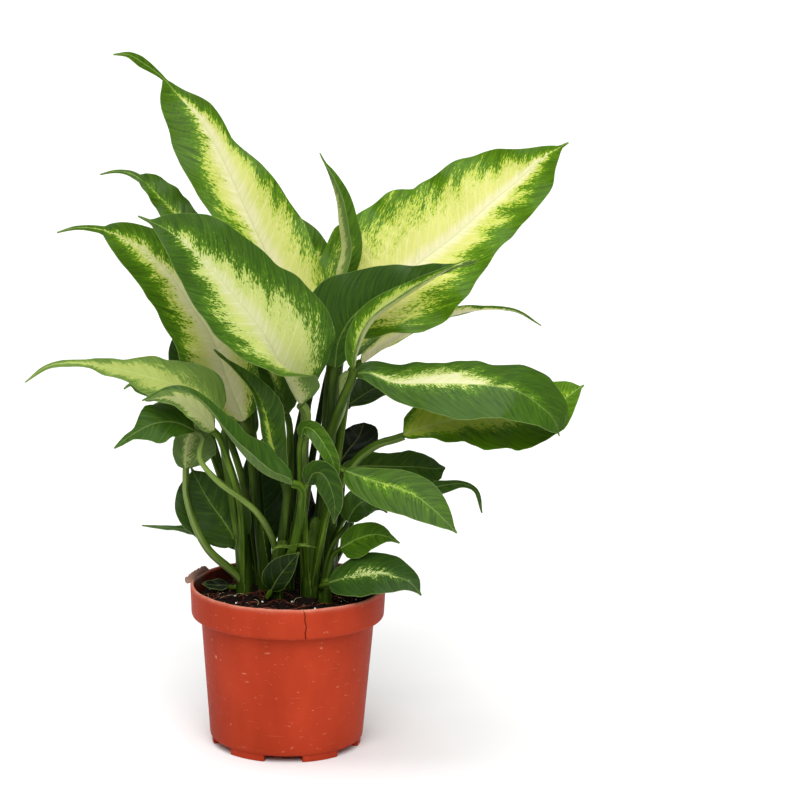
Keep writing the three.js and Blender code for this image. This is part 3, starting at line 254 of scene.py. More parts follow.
    dict(name="leaf_left_back", shoot="middle", girth=2, belly=0.42, drip=0.04, wave=(0.8, 3, 0.3),
         mood=(0.1, 0.3, 0.5), rib=((-58, 196, 14), (-70, 203, 18), (-82, 204, 22), (-92, 198, 26)),
         face=((0, -0.8, 1), (0, -0.8, 1)), left=(13,), foldLeft=(0,), foldRight=(5,), heartLeft=(-0.4,),
         stalk=((-20, 100, 20), (-40, 160, 14))),
    dict(name="leaf_left_curl", shoot="middle", girth=2, belly=0.42, drip=0.1, wave=(0.8, 3, 0.3),
         mood=(0.2, 0.35, 0.5),
         rib=((-60, 214, 32), (-74, 221, 36), (-88, 222, 40), (-97, 223, 44), (-101, 220, 42)),
         face=((0, -0.8, 1), (0, -0.8, 1)), left=(8, 8, 10), right=(8,), foldLeft=(-20,), foldRight=(5,),
         heartLeft=(-0.2,), stalk=((-22, 101, 24), (-38, 160, 22))),
    dict(name="leaf_upper_left", shoot="middle", girth=3, point=0.6, drip=0.25, tail=(1.2, 2.4),
         wave=(1.6, 5, 0.3), mood=(0.2, 0.1, 0.5),
         rib=((-50, 296, 30), (-58, 312, 34), (-67, 324, 37), (-77, 335, 40), (-87, 345, 43),
              (-97, 351.5, 45), (-106, 352.5, 46), (-115, 350.5, 46)), face=((0.2, -1, 0.4),),
         left=(12, 11, 9, 8, 7), right=(10, 10, 13, 17, 22), foldLeft=(20,),
         heartLeft=(0.1, 0.1, -0.05, -0.3), heartRight=(0.1, 0.05, -0.1, -0.4),
         stalk=((-16, 100, 18), (-24, 200, 20))),
    dict(name="leaf_behind_left", shoot="middle", girth=2.6, wave=(0.5, 3, 0.3), mood=(-0.4, 0.3, 0.5),
         rib=((-48, 214, 14), (-57, 228, 18), (-65, 243, 22), (-70, 258, 26)), face=((0, -1, 0.4),),
         left=(13,), heartLeft=(-0.4,), stalk=((-18, 100, 16), (-30, 170, 12))),
    dict(name="leaf_low_left", shoot="left", girth=2.2, belly=0.42, point=0.6, wave=(0.5, 3, 0.3),
         mood=(-0.3, 0.25, 0),
         rib=((-31, 124, 2), (-39.5, 138, 4), (-48.5, 150.5, 6), (-54.5, 161, 8), (-60, 172, 10)),
         face=((0, -1, 0.4),), left=(16, 20, 25, 28), right=(18, 18, 16), foldRight=(5,),
         heartLeft=(-0.1, -0.2, -0.4), stalk=((-27, 98, 6),)),
    dict(name="leaf_low_left_spike", shoot="middle", girth=2, drip=0.3, tail=(1.2, 2), wave=(0.5, 3, 0.3),
         mood=(0.1, 0.4, 0.4),
         rib=((-36, 124, 18), (-50, 130, 22), (-63, 133, 26), (-76, 134, 30), (-90, 135, 34)),
         face=((0, -0.7, 1),), left=(4,), heartLeft=(-0.4,), stalk=((-20, 100, 14),)),
    dict(name="leaf_centre_long", shoot="front", girth=3, point=0.9, wave=(0.5, 3, 0.3),
         mood=(-0.2, 0.1, 0.95), tone=-0.5,
         rib=((-3.5, 164, -22), (-7.5, 176.5, -25), (-11, 190, -28), (-14.5, 205.5, -30), (-20, 218.5, -32),
              (-29, 230, -34), (-38, 238, -35), (-46.5, 245.5, -36)),
         face=((-0.2, -1, 0.3), (0.2, -0.8, 0.8)), left=(5, 6, 6, 5, 5, 4), right=(7, 9, 10, 12, 9, 6, 3),
         foldLeft=(40, 30), foldRight=(20,), heartLeft=(0.1, 0.35, 0.3, 0, -0.4, -0.5),
         heartRight=(-0.2, -0.1, -0.3, -0.5), stalk=((-8, 98, -8), (-4, 130, -18))),
    dict(name="leaf_centre_small", shoot="centre", girth=2.6, belly=0.35, mood=(0.1, 0, 0.5),
         rib=((-2, 206.5, -4), (-6, 217.5, -7), (-11, 229.5, -12), (-17, 241, -18), (-22.5, 252.5, -24)),
         face=((0.4, -1, 0.4),), left=(9,), right=(12,), foldLeft=(60,),
         heartLeft=(-0.5, -0.2, 0.4, 0.5, 0.3), heartRight=(-0.5, -0.2, 0.3, 0.4, 0.3),
         stalk=((1, 99, 4), (0.5, 160.5, 0))),
    dict(name="leaf_right_inner", shoot="right", girth=2, mood=(0.15, 0.1, 0.6),
         rib=((7, 192, -24), (9, 198.5, -27), (14.5, 196.5, -30), (21.5, 187, -33), (27, 176, -34),
              (29, 161.5, -34)), face=((-0.2, -1, 0.6),), left=(5.5,), heartLeft=(-0.3,),
         heartRight=(-0.2,), stalk=((10, 98, -10), (7, 160.5, -20))),
    dict(name="leaf_right_bright", shoot="right", girth=2.6, belly=0.42, drip=0.03, mood=(0.1, 0, 0.9),
         rib=((34, 172, -30), (48, 167, -36), (62, 163, -42), (77, 157, -48), (90, 147, -54),
              (103, 134, -60)), face=((0, -0.9, 1),), left=(8, 10, 14, 15, 14), right=(15, 17, 15),
         foldLeft=(5,), foldRight=(-5,), heartLeft=(-0.3, -0.05, 0, -0.25, -0.5),
         heartRight=(-0.3, -0.05, -0.02, -0.3, -0.5), stalk=((18, 98, -12), (24, 150, -24))),
    dict(name="leaf_right_dark", shoot="outer", girth=2.6, belly=0.45, point=0.45, drip=0.03,
         wave=(1, 3, 0.3), mood=(-0.3, 0.2, 0.5),
         rib=((32, 173, 14), (46, 175, 19), (62, 175, 25), (78, 175, 31), (88, 174, 34), (95, 175, 37)),
         face=((0, -0.7, 1),), left=(8, 10, 11, 12, 16, 18), right=(17,), foldLeft=(5,), foldRight=(-15,),
         heartLeft=(-0.5,), stalk=((20, 101, 16), (26, 150, 12))),
    dict(name="leaf_right_round", shoot="back", girth=2.4, belly=0.45, point=0.4, drip=0.03,
         mood=(-1, 0.2, 0.5), tone=-0.8, rib=((30, 176, 34), (36, 185, 38), (42, 193, 44), (45, 202, 52)),
         face=((-0.5, -1, 0.6),), left=(15,), foldLeft=(5,), foldRight=(5,), heartLeft=(-0.5,),
         stalk=((10, 104, 36), (20, 150, 32))),
    dict(name="leaf_right_thin", shoot="outer", girth=1.8, drip=0.3, tail=(1.4, 2), mood=(-0.2, 0.4, 0.5),
         rib=((72, 158, 10), (84, 161, 11), (95, 164, 12), (106, 165, 12), (114, 161, 10), (118, 147, 6)),
         face=((0.2, -0.6, 1),), left=(4, 4, 3), right=(6, 6, 5), foldRight=(-10,), heartLeft=(-0.4,),
         stalk=((23, 99, 0), (36, 145, 4), (56, 155, 8))),
    dict(name="leaf_low_right", shoot="low", girth=2, drip=0.12, tail=(1, 1.8), mood=(0.2, 0.1, 0.5),
         tone=-0.6, rib=((32, 123, -20), (42, 129, -24), (52, 132, -28), (60, 131, -32), (68, 127, -36)),
         face=((-0.1, -1, 0.8),), left=(9,), right=(13,), foldRight=(5,), heartLeft=(-0.25, -0.2, -0.3),
         heartRight=(-0.2, -0.15, -0.3), stalk=((20, 97, -12), (25, 110, -16))),
    dict(name="leaf_rim_right", shoot="low", girth=2, belly=0.42, point=0.7, drip=0.04, wave=(0.6, 3, 0.3),
         mood=(-0.25, 0.45, 0), tone=-0.2,
         rib=((25, 101, -30), (38, 105, -36), (51, 107, -41), (64, 106, -46), (75, 102, -50),
              (82, 94, -53)), face=((0, -0.8, 1),), left=(14, 16, 14), right=(14, 15, 12), foldLeft=(5,),
         foldRight=(-8,), heartLeft=(-0.35, 0, 0.12, 0.05, -0.15, -0.5),
         heartRight=(-0.35, -0.05, 0.1, 0, -0.2, -0.5), stalk=((19, 96, -18),)),
    dict(name="leaf_low_right_curl", shoot="low", girth=2, drip=0.08, mood=(-0.2, 0.2, 0.5), tone=-0.6,
         rib=((36, 140, -10), (40, 148, -8), (46, 153, -6), (54, 152, -4), (60, 146, -2)),
         face=((-0.4, -1, 0.5),), left=(10,), foldRight=(5,), heartLeft=(-0.3,),
         stalk=((22, 98, -14), (24, 116, -15), (30, 130, -13))),
    dict(name="leaf_right_drooping", shoot="right", girth=2, mood=(-0.3, 0.2, 0.5),
         rib=((11, 163, -30), (15, 170, -33), (20.5, 169.5, -36), (25, 162, -38), (28, 150.5, -38),
              (27.5, 138.5, -37)), face=((-0.3, -1, 0.3),), left=(8,), heartLeft=(-0.4,),
         stalk=((11.5, 98, -14), (10, 137.5, -21))),
    dict(name="leaf_rear_tall", shoot="back", girth=2.4, drip=0.06, wave=(0.8, 3, 0.2),
         mood=(0.4, 0.1, 0.1), tone=-0.8,
         rib=((26, 240, 54), (40, 264, 78), (60, 288, 104), (82, 308, 128), (100, 318, 146)),
         face=((0, -0.4, 1),), left=(24,), foldLeft=(8,), foldRight=(8,),
         heartLeft=(0.5, 0.7, 0.7, 0.6, 0.5, 0.3, -0.2), heartRight=(0.5, 0.7, 0.75, 0.6, 0.4, 0.2, -0.3),
         stalk=((6, 103, 38), (14, 180, 42))),
    dict(name="leaf_rear_left_tall", shoot="back", girth=2.4, drip=0.06, wave=(0.8, 3, 0.2),
         mood=(-0.3, 0.2, 0.1), tone=-0.8,
         rib=((-8.5, 202.5, 48), (-9.5, 227.5, 54), (-12.5, 252, 64), (-22, 276.5, 84), (-40, 293, 112)),
         face=((0, -1, 0.3), (0, -0.4, 1)), left=(18, 20, 22), foldLeft=(8,), foldRight=(8,),
         heartLeft=(-0.5, -0.5, 0.2, 0.5, 0.5, 0.3, -0.3),
         heartRight=(-0.5, -0.5, 0.2, 0.5, 0.4, 0.2, -0.4), stalk=((3.5, 103.5, 38), (-2, 159, 44))),
    dict(name="leaf_rear_left", shoot="rear_left", girth=2.4, drip=0.06, wave=(0.8, 3, 0.2),
         mood=(-0.5, 0.2, 0.5), tone=-0.9,
         rib=((-24, 192, 54), (-34, 212, 76), (-48, 230, 98), (-60, 242, 118)), face=((0, -0.4, 1),),
         left=(12,), foldLeft=(8,), foldRight=(8,), heartLeft=(-0.3,),
         stalk=((-20, 103, 40), (-22, 150, 46))),
    dict(name="leaf_rear_right", shoot="rear_right", girth=2.4, drip=0.06, wave=(0.8, 3, 0.2),
         mood=(-0.5, 0.2, 0.5), tone=-0.9,
         rib=((35.5, 213, 60), (51.5, 223.5, 84), (72, 230.5, 108), (93.5, 234.5, 130)),
         face=((0, -0.4, 1),), left=(14,), foldLeft=(8,), foldRight=(8,), heartLeft=(-0.4,),
         stalk=((28, 103, 36), (32, 160, 50))),
    dict(name="leaf_rear_low_left", shoot="rear_left", girth=2, drip=0.06, wave=(0.8, 3, 0.2),
         mood=(-0.6, 0.6, 0.5), tone=-0.9,
         rib=((-15, 122.5, 48), (-16.5, 140, 54), (-17, 157.5, 60), (-17, 176.5, 66), (-14, 196.5, 70)),
         face=((0, -1, 0.4),), left=(15,), right=(14,), foldLeft=(8,), foldRight=(8,), heartLeft=(-0.5,),
         stalk=((-21, 103, 42), (-19.5, 109.5, 46))),
    dict(name="leaf_rear_low_right", shoot="rear_right", girth=2, drip=0.06, wave=(0.8, 3, 0.2),
         mood=(-1, 0.2, 0.5), tone=-0.9, rib=((8.5, 120, 46), (6, 137, 56), (5.5, 156, 64), (6, 175, 68)),
         face=((0, -1, 0.4),), left=(12,), foldLeft=(8,), foldRight=(8,), heartLeft=(-0.4,),
         stalk=((25.5, 103.5, 36), (17, 114, 40))),
    dict(name="leaf_rear_small", shoot="rear_right", girth=2, drip=0.06, wave=(0.8, 3, 0.2),
         mood=(0.6, 0, 0.6), rib=((44, 150, 48), (56, 158, 66), (68, 164, 84), (80, 166, 100)),
         face=((0, -0.4, 1),), left=(10,), foldLeft=(8,), foldRight=(8,), heartLeft=(-0.4,),
         stalk=((30, 103, 36), (36, 130, 42))),
    dict(name="leaf_soil_left", shoot="left", girth=1.8, point=0.7, drip=0.06, wave=(0.4, 2, 0.2),
         mood=(-1, 0.3, 0.5), rib=((-37, 98, 1), (-42, 98, 0), (-47, 98, -1), (-53, 99, -2)),
         face=((0, -0.5, 1),), left=(5,), foldLeft=(8,), foldRight=(8,), heartLeft=(-0.5,),
         stalk=((-29, 98, 0),)),
    dict(name="leaf_soil_small", shoot="front", girth=1.8, belly=0.36, drip=0.06, wave=(0.4, 2, 0.2),
         mood=(-0.85, 0, 0), rib=((-10.5, 95.5, -25), (-6.5, 103, -27), (-1, 110.5, -28), (6.5, 120, -29)),
         face=((0.1, -1, 0.5),), left=(10,), right=(7,), heartLeft=(-0.5,), stalk=((-9, 100, -14),)),
]
LEAVES = [{**USUAL, "right": blade["left"], "heartRight": blade["heartLeft"], **blade} for blade in BLADES]


def linear(code):
    """sRGB hex to linear RGBA."""
    parts = [int(code[i:i + 2], 16) / 255 for i in (1, 3, 5)]
    return [p / 12.92 if p <= 0.04045 else ((p + 0.055) / 1.055) ** 2.4 for p in parts] + [1.0]


# A mix is one of colours. The inputs of a range, in order, are its value, the low and high that it reads,
# and the low and high that it gives, which are 0 and 1 where nothing is said.
USUAL_SETTINGS = {"Mix": {"data_type": "RGBA"}}
SMOOTH = {"interpolation_type": "SMOOTHSTEP"}


def put(tree, kind, inputs=(), **settings):
    """Adds a shader node with its settings. The inputs are a dict by name, or a list in their order; each
    is a value, a socket to link, or a node, whose main output is then linked."""
    node = tree.nodes.new("ShaderNode" + kind)
    for key, value in {**USUAL_SETTINGS.get(kind, {}), **settings}.items():
        setattr(node, key, value)
    shown = [socket for socket in node.inputs if socket.enabled]
    named = isinstance(inputs, dict)
    for key, value in inputs.items() if named else enumerate(inputs):
        socket = node.inputs[key] if named else shown[key]
        if isinstance(value, bpy.types.Node):
            value = next(output for output in value.outputs if output.enabled)
        if isinstance(value, bpy.types.NodeSocket):
            tree.links.new(value, socket)
        else:
            socket.default_value = value
    return node


def new_material(name):
    """An empty material, and the function that adds nodes to it."""
    material = bpy.data.materials.new(name)
    material.use_nodes = True
    material.node_tree.nodes.clear()
    return material, partial(put, material.node_tree)


# ---------------------------------------------------------------- shapes shared by stalks and blades

def seen(point):
    """Place in the row frame of a point given across, up and behind, as seen from the front."""
    across, up, back = point
    reach = (back - EYE[1]) / -EYE[1]
    return np.array([EYE[0] + (across - EYE[0]) * reach, back, EYE[2] + (up - EYE[2]) * reach])


def smooth_path(points, samples=400):
    """Centripetal Catmull-Rom curve through the points, closely sampled."""
    points = np.asarray(points, float)
    last = len(points) - 1
    padded = np.vstack([2 * points[0] - points[1], points, 2 * points[-1] - points[-2]])
    place = np.linspace(0, last, samples + 1)
    i = np.minimum(place.astype(int), last - 1)
    w = (place - i)[:, None]
    p0, p1, p2, p3 = (padded[i + k] for k in range(4))
    d0, d1, d2 = (np.linalg.norm(b - a, axis=1)[:, None] ** 0.5 for a, b in ((p0, p1), (p1, p2), (p2, p3)))
    t1 = ((p1 - p0) / d0 - (p2 - p0) / (d0 + d1) + (p2 - p1) / d1) * d1
    t2 = ((p2 - p1) / d1 - (p3 - p1) / (d1 + d2) + (p3 - p2) / d2) * d1
    return p1 + t1 * w + (3 * p2 - 3 * p1 - 2 * t1 - t2) * w ** 2 + (2 * p1 - 2 * p2 + t1 + t2) * w ** 3


def at_shares(path, shares):
    """Points of a sampled path at shares of its length, and that length."""
    steps = np.r_[0, np.cumsum(np.linalg.norm(np.diff(path, axis=0), axis=1))]
    return np.stack([np.interp(shares * steps[-1], steps, path[:, k]) for k in range(3)], -1), steps[-1]


def along(values, shares):
    """Values of an evenly spaced list at shares of the way, with soft corners."""
    values = np.asarray(values, float)
    if len(values) == 1:
        return np.repeat(values, len(shares), axis=0)
    place = np.clip(shares, 0, 1) * (len(values) - 1)
    i = np.minimum(place.astype(int), len(values) - 2)
    w = place - i
    w = (w * w * (3 - 2 * w) + w) / 2
    if values.ndim == 2:
        w = w[:, None]
    return values[i] * (1 - w) + values[i + 1] * w


def unit(vectors):
    """Vectors scaled to a length of one."""
    return vectors / np.maximum(np.linalg.norm(vectors, axis=-1, keepdims=True), 1e-9)


def outline(shares, belly, point, drip):
    """Half width of a blade along its length, as a share of the greatest."""
    q = np.minimum(shares / (1 - drip), 1)
    low = np.sqrt(np.clip(1 - ((belly - np.minimum(q, belly)) / belly) ** 2, 0, 1)) ** 0.85
    high = np.clip(1 - ((np.maximum(q, belly) - belly) / (1 - belly)) ** 2, 0, 1) ** point
    return np.where(q < belly, low, high)


def rib_frames(leaf, shares):
    """Points of the midrib, direction of growth, upward side, sideways direction and length."""
    path = smooth_path([seen(p) for p in leaf["rib"]])
    place, length = at_shares(path, shares)
    before, after = np.maximum(shares - 0.004, 0), np.minimum(shares + 0.004, 1)
    ahead = unit(at_shares(path, after)[0] - at_shares(path, before)[0])
    upper = along(leaf["face"], shares)
    upper = unit(upper - (upper * ahead).sum(1, keepdims=True) * ahead)
    return place, ahead, upper, np.cross(ahead, upper), length


def build_mesh(name, vertices, faces, materials, vectors=None, smooth_angle=60):
    """Mesh object from vertices in millimetres, lists of faces, and named vector attributes."""
    data = bpy.data.meshes.new(name)
    data.from_pydata((np.asarray(vertices) * MM).tolist(), [], faces)
    for key, values in (vectors or {}).items():
        layer = data.attributes.new(key, "FLOAT_VECTOR", "POINT")
        layer.data.foreach_set("vector", np.asarray(values, np.float32).ravel())
    for material in materials:
        data.materials.append(material)
    data.polygons.foreach_set("use_smooth", [True] * len(data.polygons))
    data.set_sharp_from_angle(angle=math.radians(smooth_angle))
    data.update()
    piece = bpy.data.objects.new(name, data)
    bpy.context.scene.collection.objects.link(piece)
    return piece


def net_faces(rows, columns, start=0, flip=False, ring=False):
    """Quads of a net of rows and columns; a ring joins the last column to the first."""
    faces = []
    for r in range(rows - 1):
        for c in range(columns if ring else columns - 1):
            d = (c + 1) % columns
            quad = (r * columns + c, r * columns + d, (r + 1) * columns + d, (r + 1) * columns + c)
            faces.append(tuple(start + v for v in (quad[::-1] if flip else quad)))
    return faces


def tube_faces(rows, columns, start=0, flip=False, flip_ends=False):
    """Faces of a closed tube: a ringed net and a face over each end."""
    first = list(range(start, start + columns))
    last = [(rows - 1) * columns + v for v in first]
    ends = (first, last[::-1]) if flip_ends else (first[::-1], last)
    return net_faces(rows, columns, start, flip, ring=True) + [tuple(end) for end in ends]


def sheet_faces(rows, columns):
    """Faces of a closed sheet, whose under net follows its upper one: above, below and round the rim."""
    half = rows * columns
    rim = [r * columns for r in range(rows)]
    rim += [(rows - 1) * columns + c for c in range(1, columns)]
    rim += [r * columns + columns - 1 for r in range(rows - 2, -1, -1)]
    rim += list(range(columns - 2, 0, -1))
    joints = [(a, b, half + b, half + a) for a, b in zip(rim, rim[1:] + rim[:1])]
    return net_faces(rows, columns), net_faces(rows, columns, half, flip=True), joints


def fields(*values):
    """Places or attribute values of a net's points, from the three numbers of each."""
    return np.stack(np.broadcast_arrays(*values), -1)


# ---------------------------------------------------------------- blades

# How far out the points of a half blade lie, as shares of its half width.
REACHES = (0, 0.035, 0.08, 0.15, 0.25, 0.36, 0.48, 0.6, 0.72, 0.83, 0.92, 0.975, 1)
SIDES = [(-1, r) for r in REACHES[:0:-1]] + [(1, r) for r in REACHES]
BLADE_THICKNESS = 0.7
MARGIN_THICKNESS = 0.35
VEIN_SPACING = 8.0
VEIN_RELIEF = 0.5
RIB_WIDTH = 1.15
KEEL_WIDTH = 1.5
GROOVE_DEPTH = 0.3
GROOVE_WIDTH = 0.9
ROW_SPACING = 2.4


def blade_surface(leaf, shares):
    """Middle surface of a blade, with what its pattern needs at each point."""
    place, _, upper, sideways, length = rib_frames(leaf, shares)
    share = outline(shares, leaf["belly"], leaf["point"], leaf["drip"])
    least = BASE_HALF_WIDTH + (TIP_HALF_WIDTH - BASE_HALF_WIDTH) * shares
    tail = along([TIP_HALF_WIDTH, *leaf["tail"]], (1 - shares) / leaf["drip"])
    least = np.where(shares < 1 - 2 * leaf["drip"], least, np.maximum(least, tail))
    height, cycles, start = leaf["wave"]
    seed = sum(ord(letter) for letter in leaf["name"]) % 97
    columns, grain, tint = [], [], []
    for side, reach in SIDES:
        key = "left" if side < 0 else "right"
        half = np.maximum(along(leaf[key], shares) * share, least)
        half += 0.3 * height * share * np.sin(2 * np.pi * 1.7 * cycles * shares + seed + side)
        fold = np.radians(along(leaf["fold" + key.capitalize()], shares)) * np.clip(share * 3, 0, 1)
        phase = 2 * np.pi * (cycles * shares + start + (WAVE_OFFSET if side > 0 else 0))
        ripple = height * reach ** 2 * np.clip(share * 1.6, 0, 1) * np.sin(phase)
        ripple += 0.25 * height * reach ** 4 * share * np.sin(2.7 * phase + seed)
        out = half * reach
        vein = shares * length - out * (0.8 + 0.35 * reach ** 2)
        relief = VEIN_RELIEF * np.sin(2 * np.pi * vein / VEIN_SPACING) * np.sin(np.pi * reach)
        relief *= np.clip(half / 12, 0, 1)
        point = place + sideways * (side * out * np.cos(fold))[:, None]
        point = point + upper * (out * np.sin(fold) + ripple + relief)[:, None]
        columns.append(point)
        border = along(leaf["heart" + key.capitalize()], shares)
        grain.append(fields(vein, out, 31.0 * seed + 500 * (side > 0)))
        rib_width = RIB_WIDTH * (1 - 0.75 * shares) * min(1, 0.35 + half.max() / 30)
        tint.append(fields(border - reach, out / rib_width, half * (1 - reach)))
    return np.stack(columns, 1), np.stack(grain, 1), np.stack(tint, 1), upper


def blade_piece(leaf, materials, thickness):
    """A blade as a closed sheet: upper face, under face with its keel, and a thin margin."""
    spacing = ROW_SPACING
    rough_length = at_shares(smooth_path([seen(p) for p in leaf["rib"]]), np.array([1.0]))[1]
    rows = int(np.clip(rough_length / spacing, 16, 90))
    shares = np.linspace(0, 1, rows + 1)
    middle, grain, tint, upper = blade_surface(leaf, shares)
    onward = np.gradient(middle, axis=0)
    across = np.gradient(middle, axis=1)
    normal = unit(np.cross(across, onward))
    reach = np.array([r for _, r in SIDES])
    out = grain[..., 1]
    thick = thickness + (MARGIN_THICKNESS - thickness) * reach[None, :] ** 3
    keel = KEEL_DEPTH * (1 - shares)[:, None] * np.exp(-(out / KEEL_WIDTH) ** 2)
    groove = GROOVE_DEPTH * (1 - shares)[:, None] * np.exp(-(out / GROOVE_WIDTH) ** 2)
    top = middle + normal * (thick / 2)[..., None] - upper[:, None, :] * groove[..., None]
    bottom = middle - normal * (thick / 2)[..., None] - upper[:, None, :] * keel[..., None]
    above, below, rim = sheet_faces(rows + 1, len(SIDES))
    turned = int(leaf["turned"])
    slots = [turned] * len(above) + [1 - turned] * len(below) + [0] * len(rim)
    vertices = np.vstack([top.reshape(-1, 3), bottom.reshape(-1, 3)])
    vectors = {
        "grain": np.vstack([grain.reshape(-1, 3)] * 2),
        "tint": np.vstack([tint.reshape(-1, 3)] * 2),
        "mood": np.tile(leaf["mood"], (len(vertices), 1)),
    }
    name = leaf["name"].replace("leaf_", "blade_")
    piece = build_mesh(name, vertices, above + below + rim, materials, vectors)
    piece.data.polygons.foreach_set("material_index", slots)
    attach(piece, "root")
    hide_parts(leaf["name"])
    return piece


def blade_material(name, codes, rib_strength, roughness, relief, specular):
    """Living leaf tissue with a waxy skin: satin, finely ribbed along its side veins, its cream
    heart breaking up into streaks and flecks towards the green margin."""
    colours = {key: linear(code) for key, code in codes.items()}
    material, add = new_material(name)
    grain = add("Attribute", attribute_name="grain").outputs["Vector"]
    tint = add("SeparateXYZ", [add("Attribute", attribute_name="tint").outputs["Vector"]])
    mood = add("SeparateXYZ", [add("Attribute", attribute_name="mood").outputs["Vector"]])
    # Streaks about 2 mm wide and 10 mm long run along the side veins; flecks are 1 to 2 mm, and
    # blotches 10 to 15 mm.
    streak_at = add("VectorMath", [grain, (0.45, 0.1, 1)], operation="MULTIPLY")
    fleck_at = add("VectorMath", [grain, (0.9, 0.55, 1)], operation="MULTIPLY")
    blotch_at = add("VectorMath", [grain, (0.1, 0.07, 1)], operation="MULTIPLY")
    streak = add("TexNoise", {"Vector": streak_at, "Scale": 1, "Detail": 2.0, "Roughness": 0.55})
    fleck = add("TexNoise", {"Vector": fleck_at, "Scale": 1, "Detail": 3.0, "Roughness": 0.65})
    blotch = add("TexNoise", {"Vector": blotch_at, "Scale": 1, "Detail": 1.0})
    edge = add("Math", [streak, 0.5, tint.outputs["X"]], operation="MULTIPLY_ADD")
    edge = add("Math", [fleck, 1.3, edge], operation="MULTIPLY_ADD")
    edge = add("Math", [blotch, 0.75, edge], operation="MULTIPLY_ADD")
    edge = add("Math", [edge, 1.275], operation="SUBTRACT")
    heart = add("MapRange", [edge, -0.03, 0.03], **SMOOTH)
    ripe = add("MapRange", [edge, 0.0, 0.34], **SMOOTH)
    # Side veins: a pale line at each vein spacing, its course shaken a little by the broad noise.
    along_vein = add("SeparateXYZ", [grain])
    vein = add("Math", [blotch, 5.0, along_vein.outputs["X"]], operation="MULTIPLY_ADD")
    vein = add("Math", [vein, 0.5 * VEIN_SPACING], operation="PINGPONG")
    vein = add("MapRange", [vein, 0.75, 0.1], **SMOOTH)
    pale = add("MapRange", [tint.outputs["Y"], 12.0, 1.5], **SMOOTH)
    ivory = add("MapRange", [mood.outputs["Z"], 0.0, -1.0])
    pale = add("Math", [pale, ivory], operation="MAXIMUM")
    pale = add("Math", [pale, ripe], operation="MULTIPLY")
    # Heart: lime next to the green, then yellow-cream, then ivory beside the midrib.
    cream = add("Mix", [ripe, colours["lime"], colours["cream"]])
    cream = add("Mix", [pale, cream, colours["ivory"]])
    limed = add("Mix", [streak, colours["lime_dark"], colours["lime"]])
    cream = add("Mix", [mood.outputs["Z"], cream, limed])
    # Painted bluish sheen: the mood's blue frosts the cream.
    cream = add("Mix", [mood.outputs["Y"], cream, colours["frost_sheen"]])
    veil = add("MapRange", [streak, 0.35, 0.7, 0, 0.35])
    cream = add("Mix", [veil, cream, colours["lime"]])
    line = add("Math", [vein, ripe], operation="MULTIPLY")
    clear = add("MapRange", [mood.outputs["Z"], 0, 1, 0.38, 0.04])
    line = add("Math", [line, clear], operation="MULTIPLY")
    cream = add("Mix", [line, cream, colours["ivory"]])
    # Green: dark with lighter streaks; brighter where the mood is above zero, for young blades and as
    # painted light; bluer with a painted bluish sheen; almost black as painted shade below zero.
    body = add("MapRange", [streak, 0.3, 0.72])
    green = add("Mix", [body, colours["green_dark"], colours["green"]])
    # Painted light, with youth: a mood above zero brightens the green.
    young_and_lit = add("Mix", [body, colours["green"], colours["green_bright"]])
    green = add("Mix", [mood.outputs["X"], green, young_and_lit])
    fresh = add("MapRange", [edge, -0.4, -0.02, 0, 0.75], **SMOOTH)
    green = add("Mix", [fresh, green, colours["green_bright"]])
    # Painted bluish sheen: the mood's blue mixes in a bluish green.
    green = add("Mix", [mood.outputs["Y"], green, colours["green_blue_sheen"]])
    # Painted shade: a mood below zero turns the green almost black.
    painted_shade_mix = add("MapRange", [mood.outputs["X"], 0.0, -1.0, 0, 1.0])
    green = add("Mix", [painted_shade_mix, green, colours["green_shaded"]])
    line = add("Math", [vein, 0.12], operation="MULTIPLY")
    green = add("Mix", [line, green, colours["green_bright"]])
    skin = add("Mix", [heart, green, cream])
    rib = add("MapRange", [tint.outputs["Y"], 0.85, 0.45, 0, rib_strength], **SMOOTH)
    clear = add("MapRange", [mood.outputs["X"], 0, 1, 0.4])
    rib = add("Math", [rib, clear], operation="MULTIPLY")
    skin = add("Mix", [rib, skin, colours["rib"]])
    brim = add("MapRange", [tint.outputs["Z"], 0.4, 0.1, 0, 0.45], **SMOOTH)
    skin = add("Mix", [brim, skin, colours["brim"]])
    rough = add("MapRange", [fleck, 0.3, 0.7, roughness - 0.05, roughness + 0.09])
    bump = add("Bump", {"Height": streak, "Strength": relief, "Distance": 0.35 * MM})
    shader = add("BsdfPrincipled", {"Base Color": skin, "Roughness": rough, "Normal": bump, "IOR": 1.42,
                                    "Specular IOR Level": specular, "Subsurface Weight": 0.08,
                                    "Subsurface Radius": (1.0, 1.2, 0.3), "Subsurface Scale": 0.8 * MM})
    add("OutputMaterial", {"Surface": shader})
    return material


# Colours of the two skins, in sRGB.
UPPER_SKIN = {
    "green_dark": "#243F07", "green": "#40600B", "green_bright": "#5A860C", "green_blue_sheen": "#2C4A22",
    "green_shaded": "#081203", "frost_sheen": "#A9BC92", "lime_dark": "#6F8C1C", "lime": "#A8B93A",
    "cream": "#CFCE78", "ivory": "#DDD5AE", "rib": "#A9BC6C", "brim": "#7F9650",
}
UNDER_SKIN = {
    "green_dark": "#435C24", "green": "#5C762E", "green_bright": "#728E3A", "green_blue_sheen": "#556B45",
    "green_shaded": "#1C2C0E", "frost_sheen": "#A9B488", "lime_dark": "#84943C", "lime": "#A0AC58",
    "cream": "#BDBE80", "ivory": "#CBC99A", "rib": "#A2B468", "brim": "#8CA066",
}


# ---------------------------------------------------------------- stalks

STALK_SIDES = 20
COLUMN_SIDES = 56
WING_HEIGHT = 0.3


def cane_place(shoot):
    """Place of a shoot's cane across and behind, midway between its foot and the soil as seen."""
    across, back, *_ = SHOOTS[shoot]
    low, high = seen((across, 0, back)), seen((across, SOIL_TOP, back))
    return np.array([(low[0] + high[0]) / 2, back])


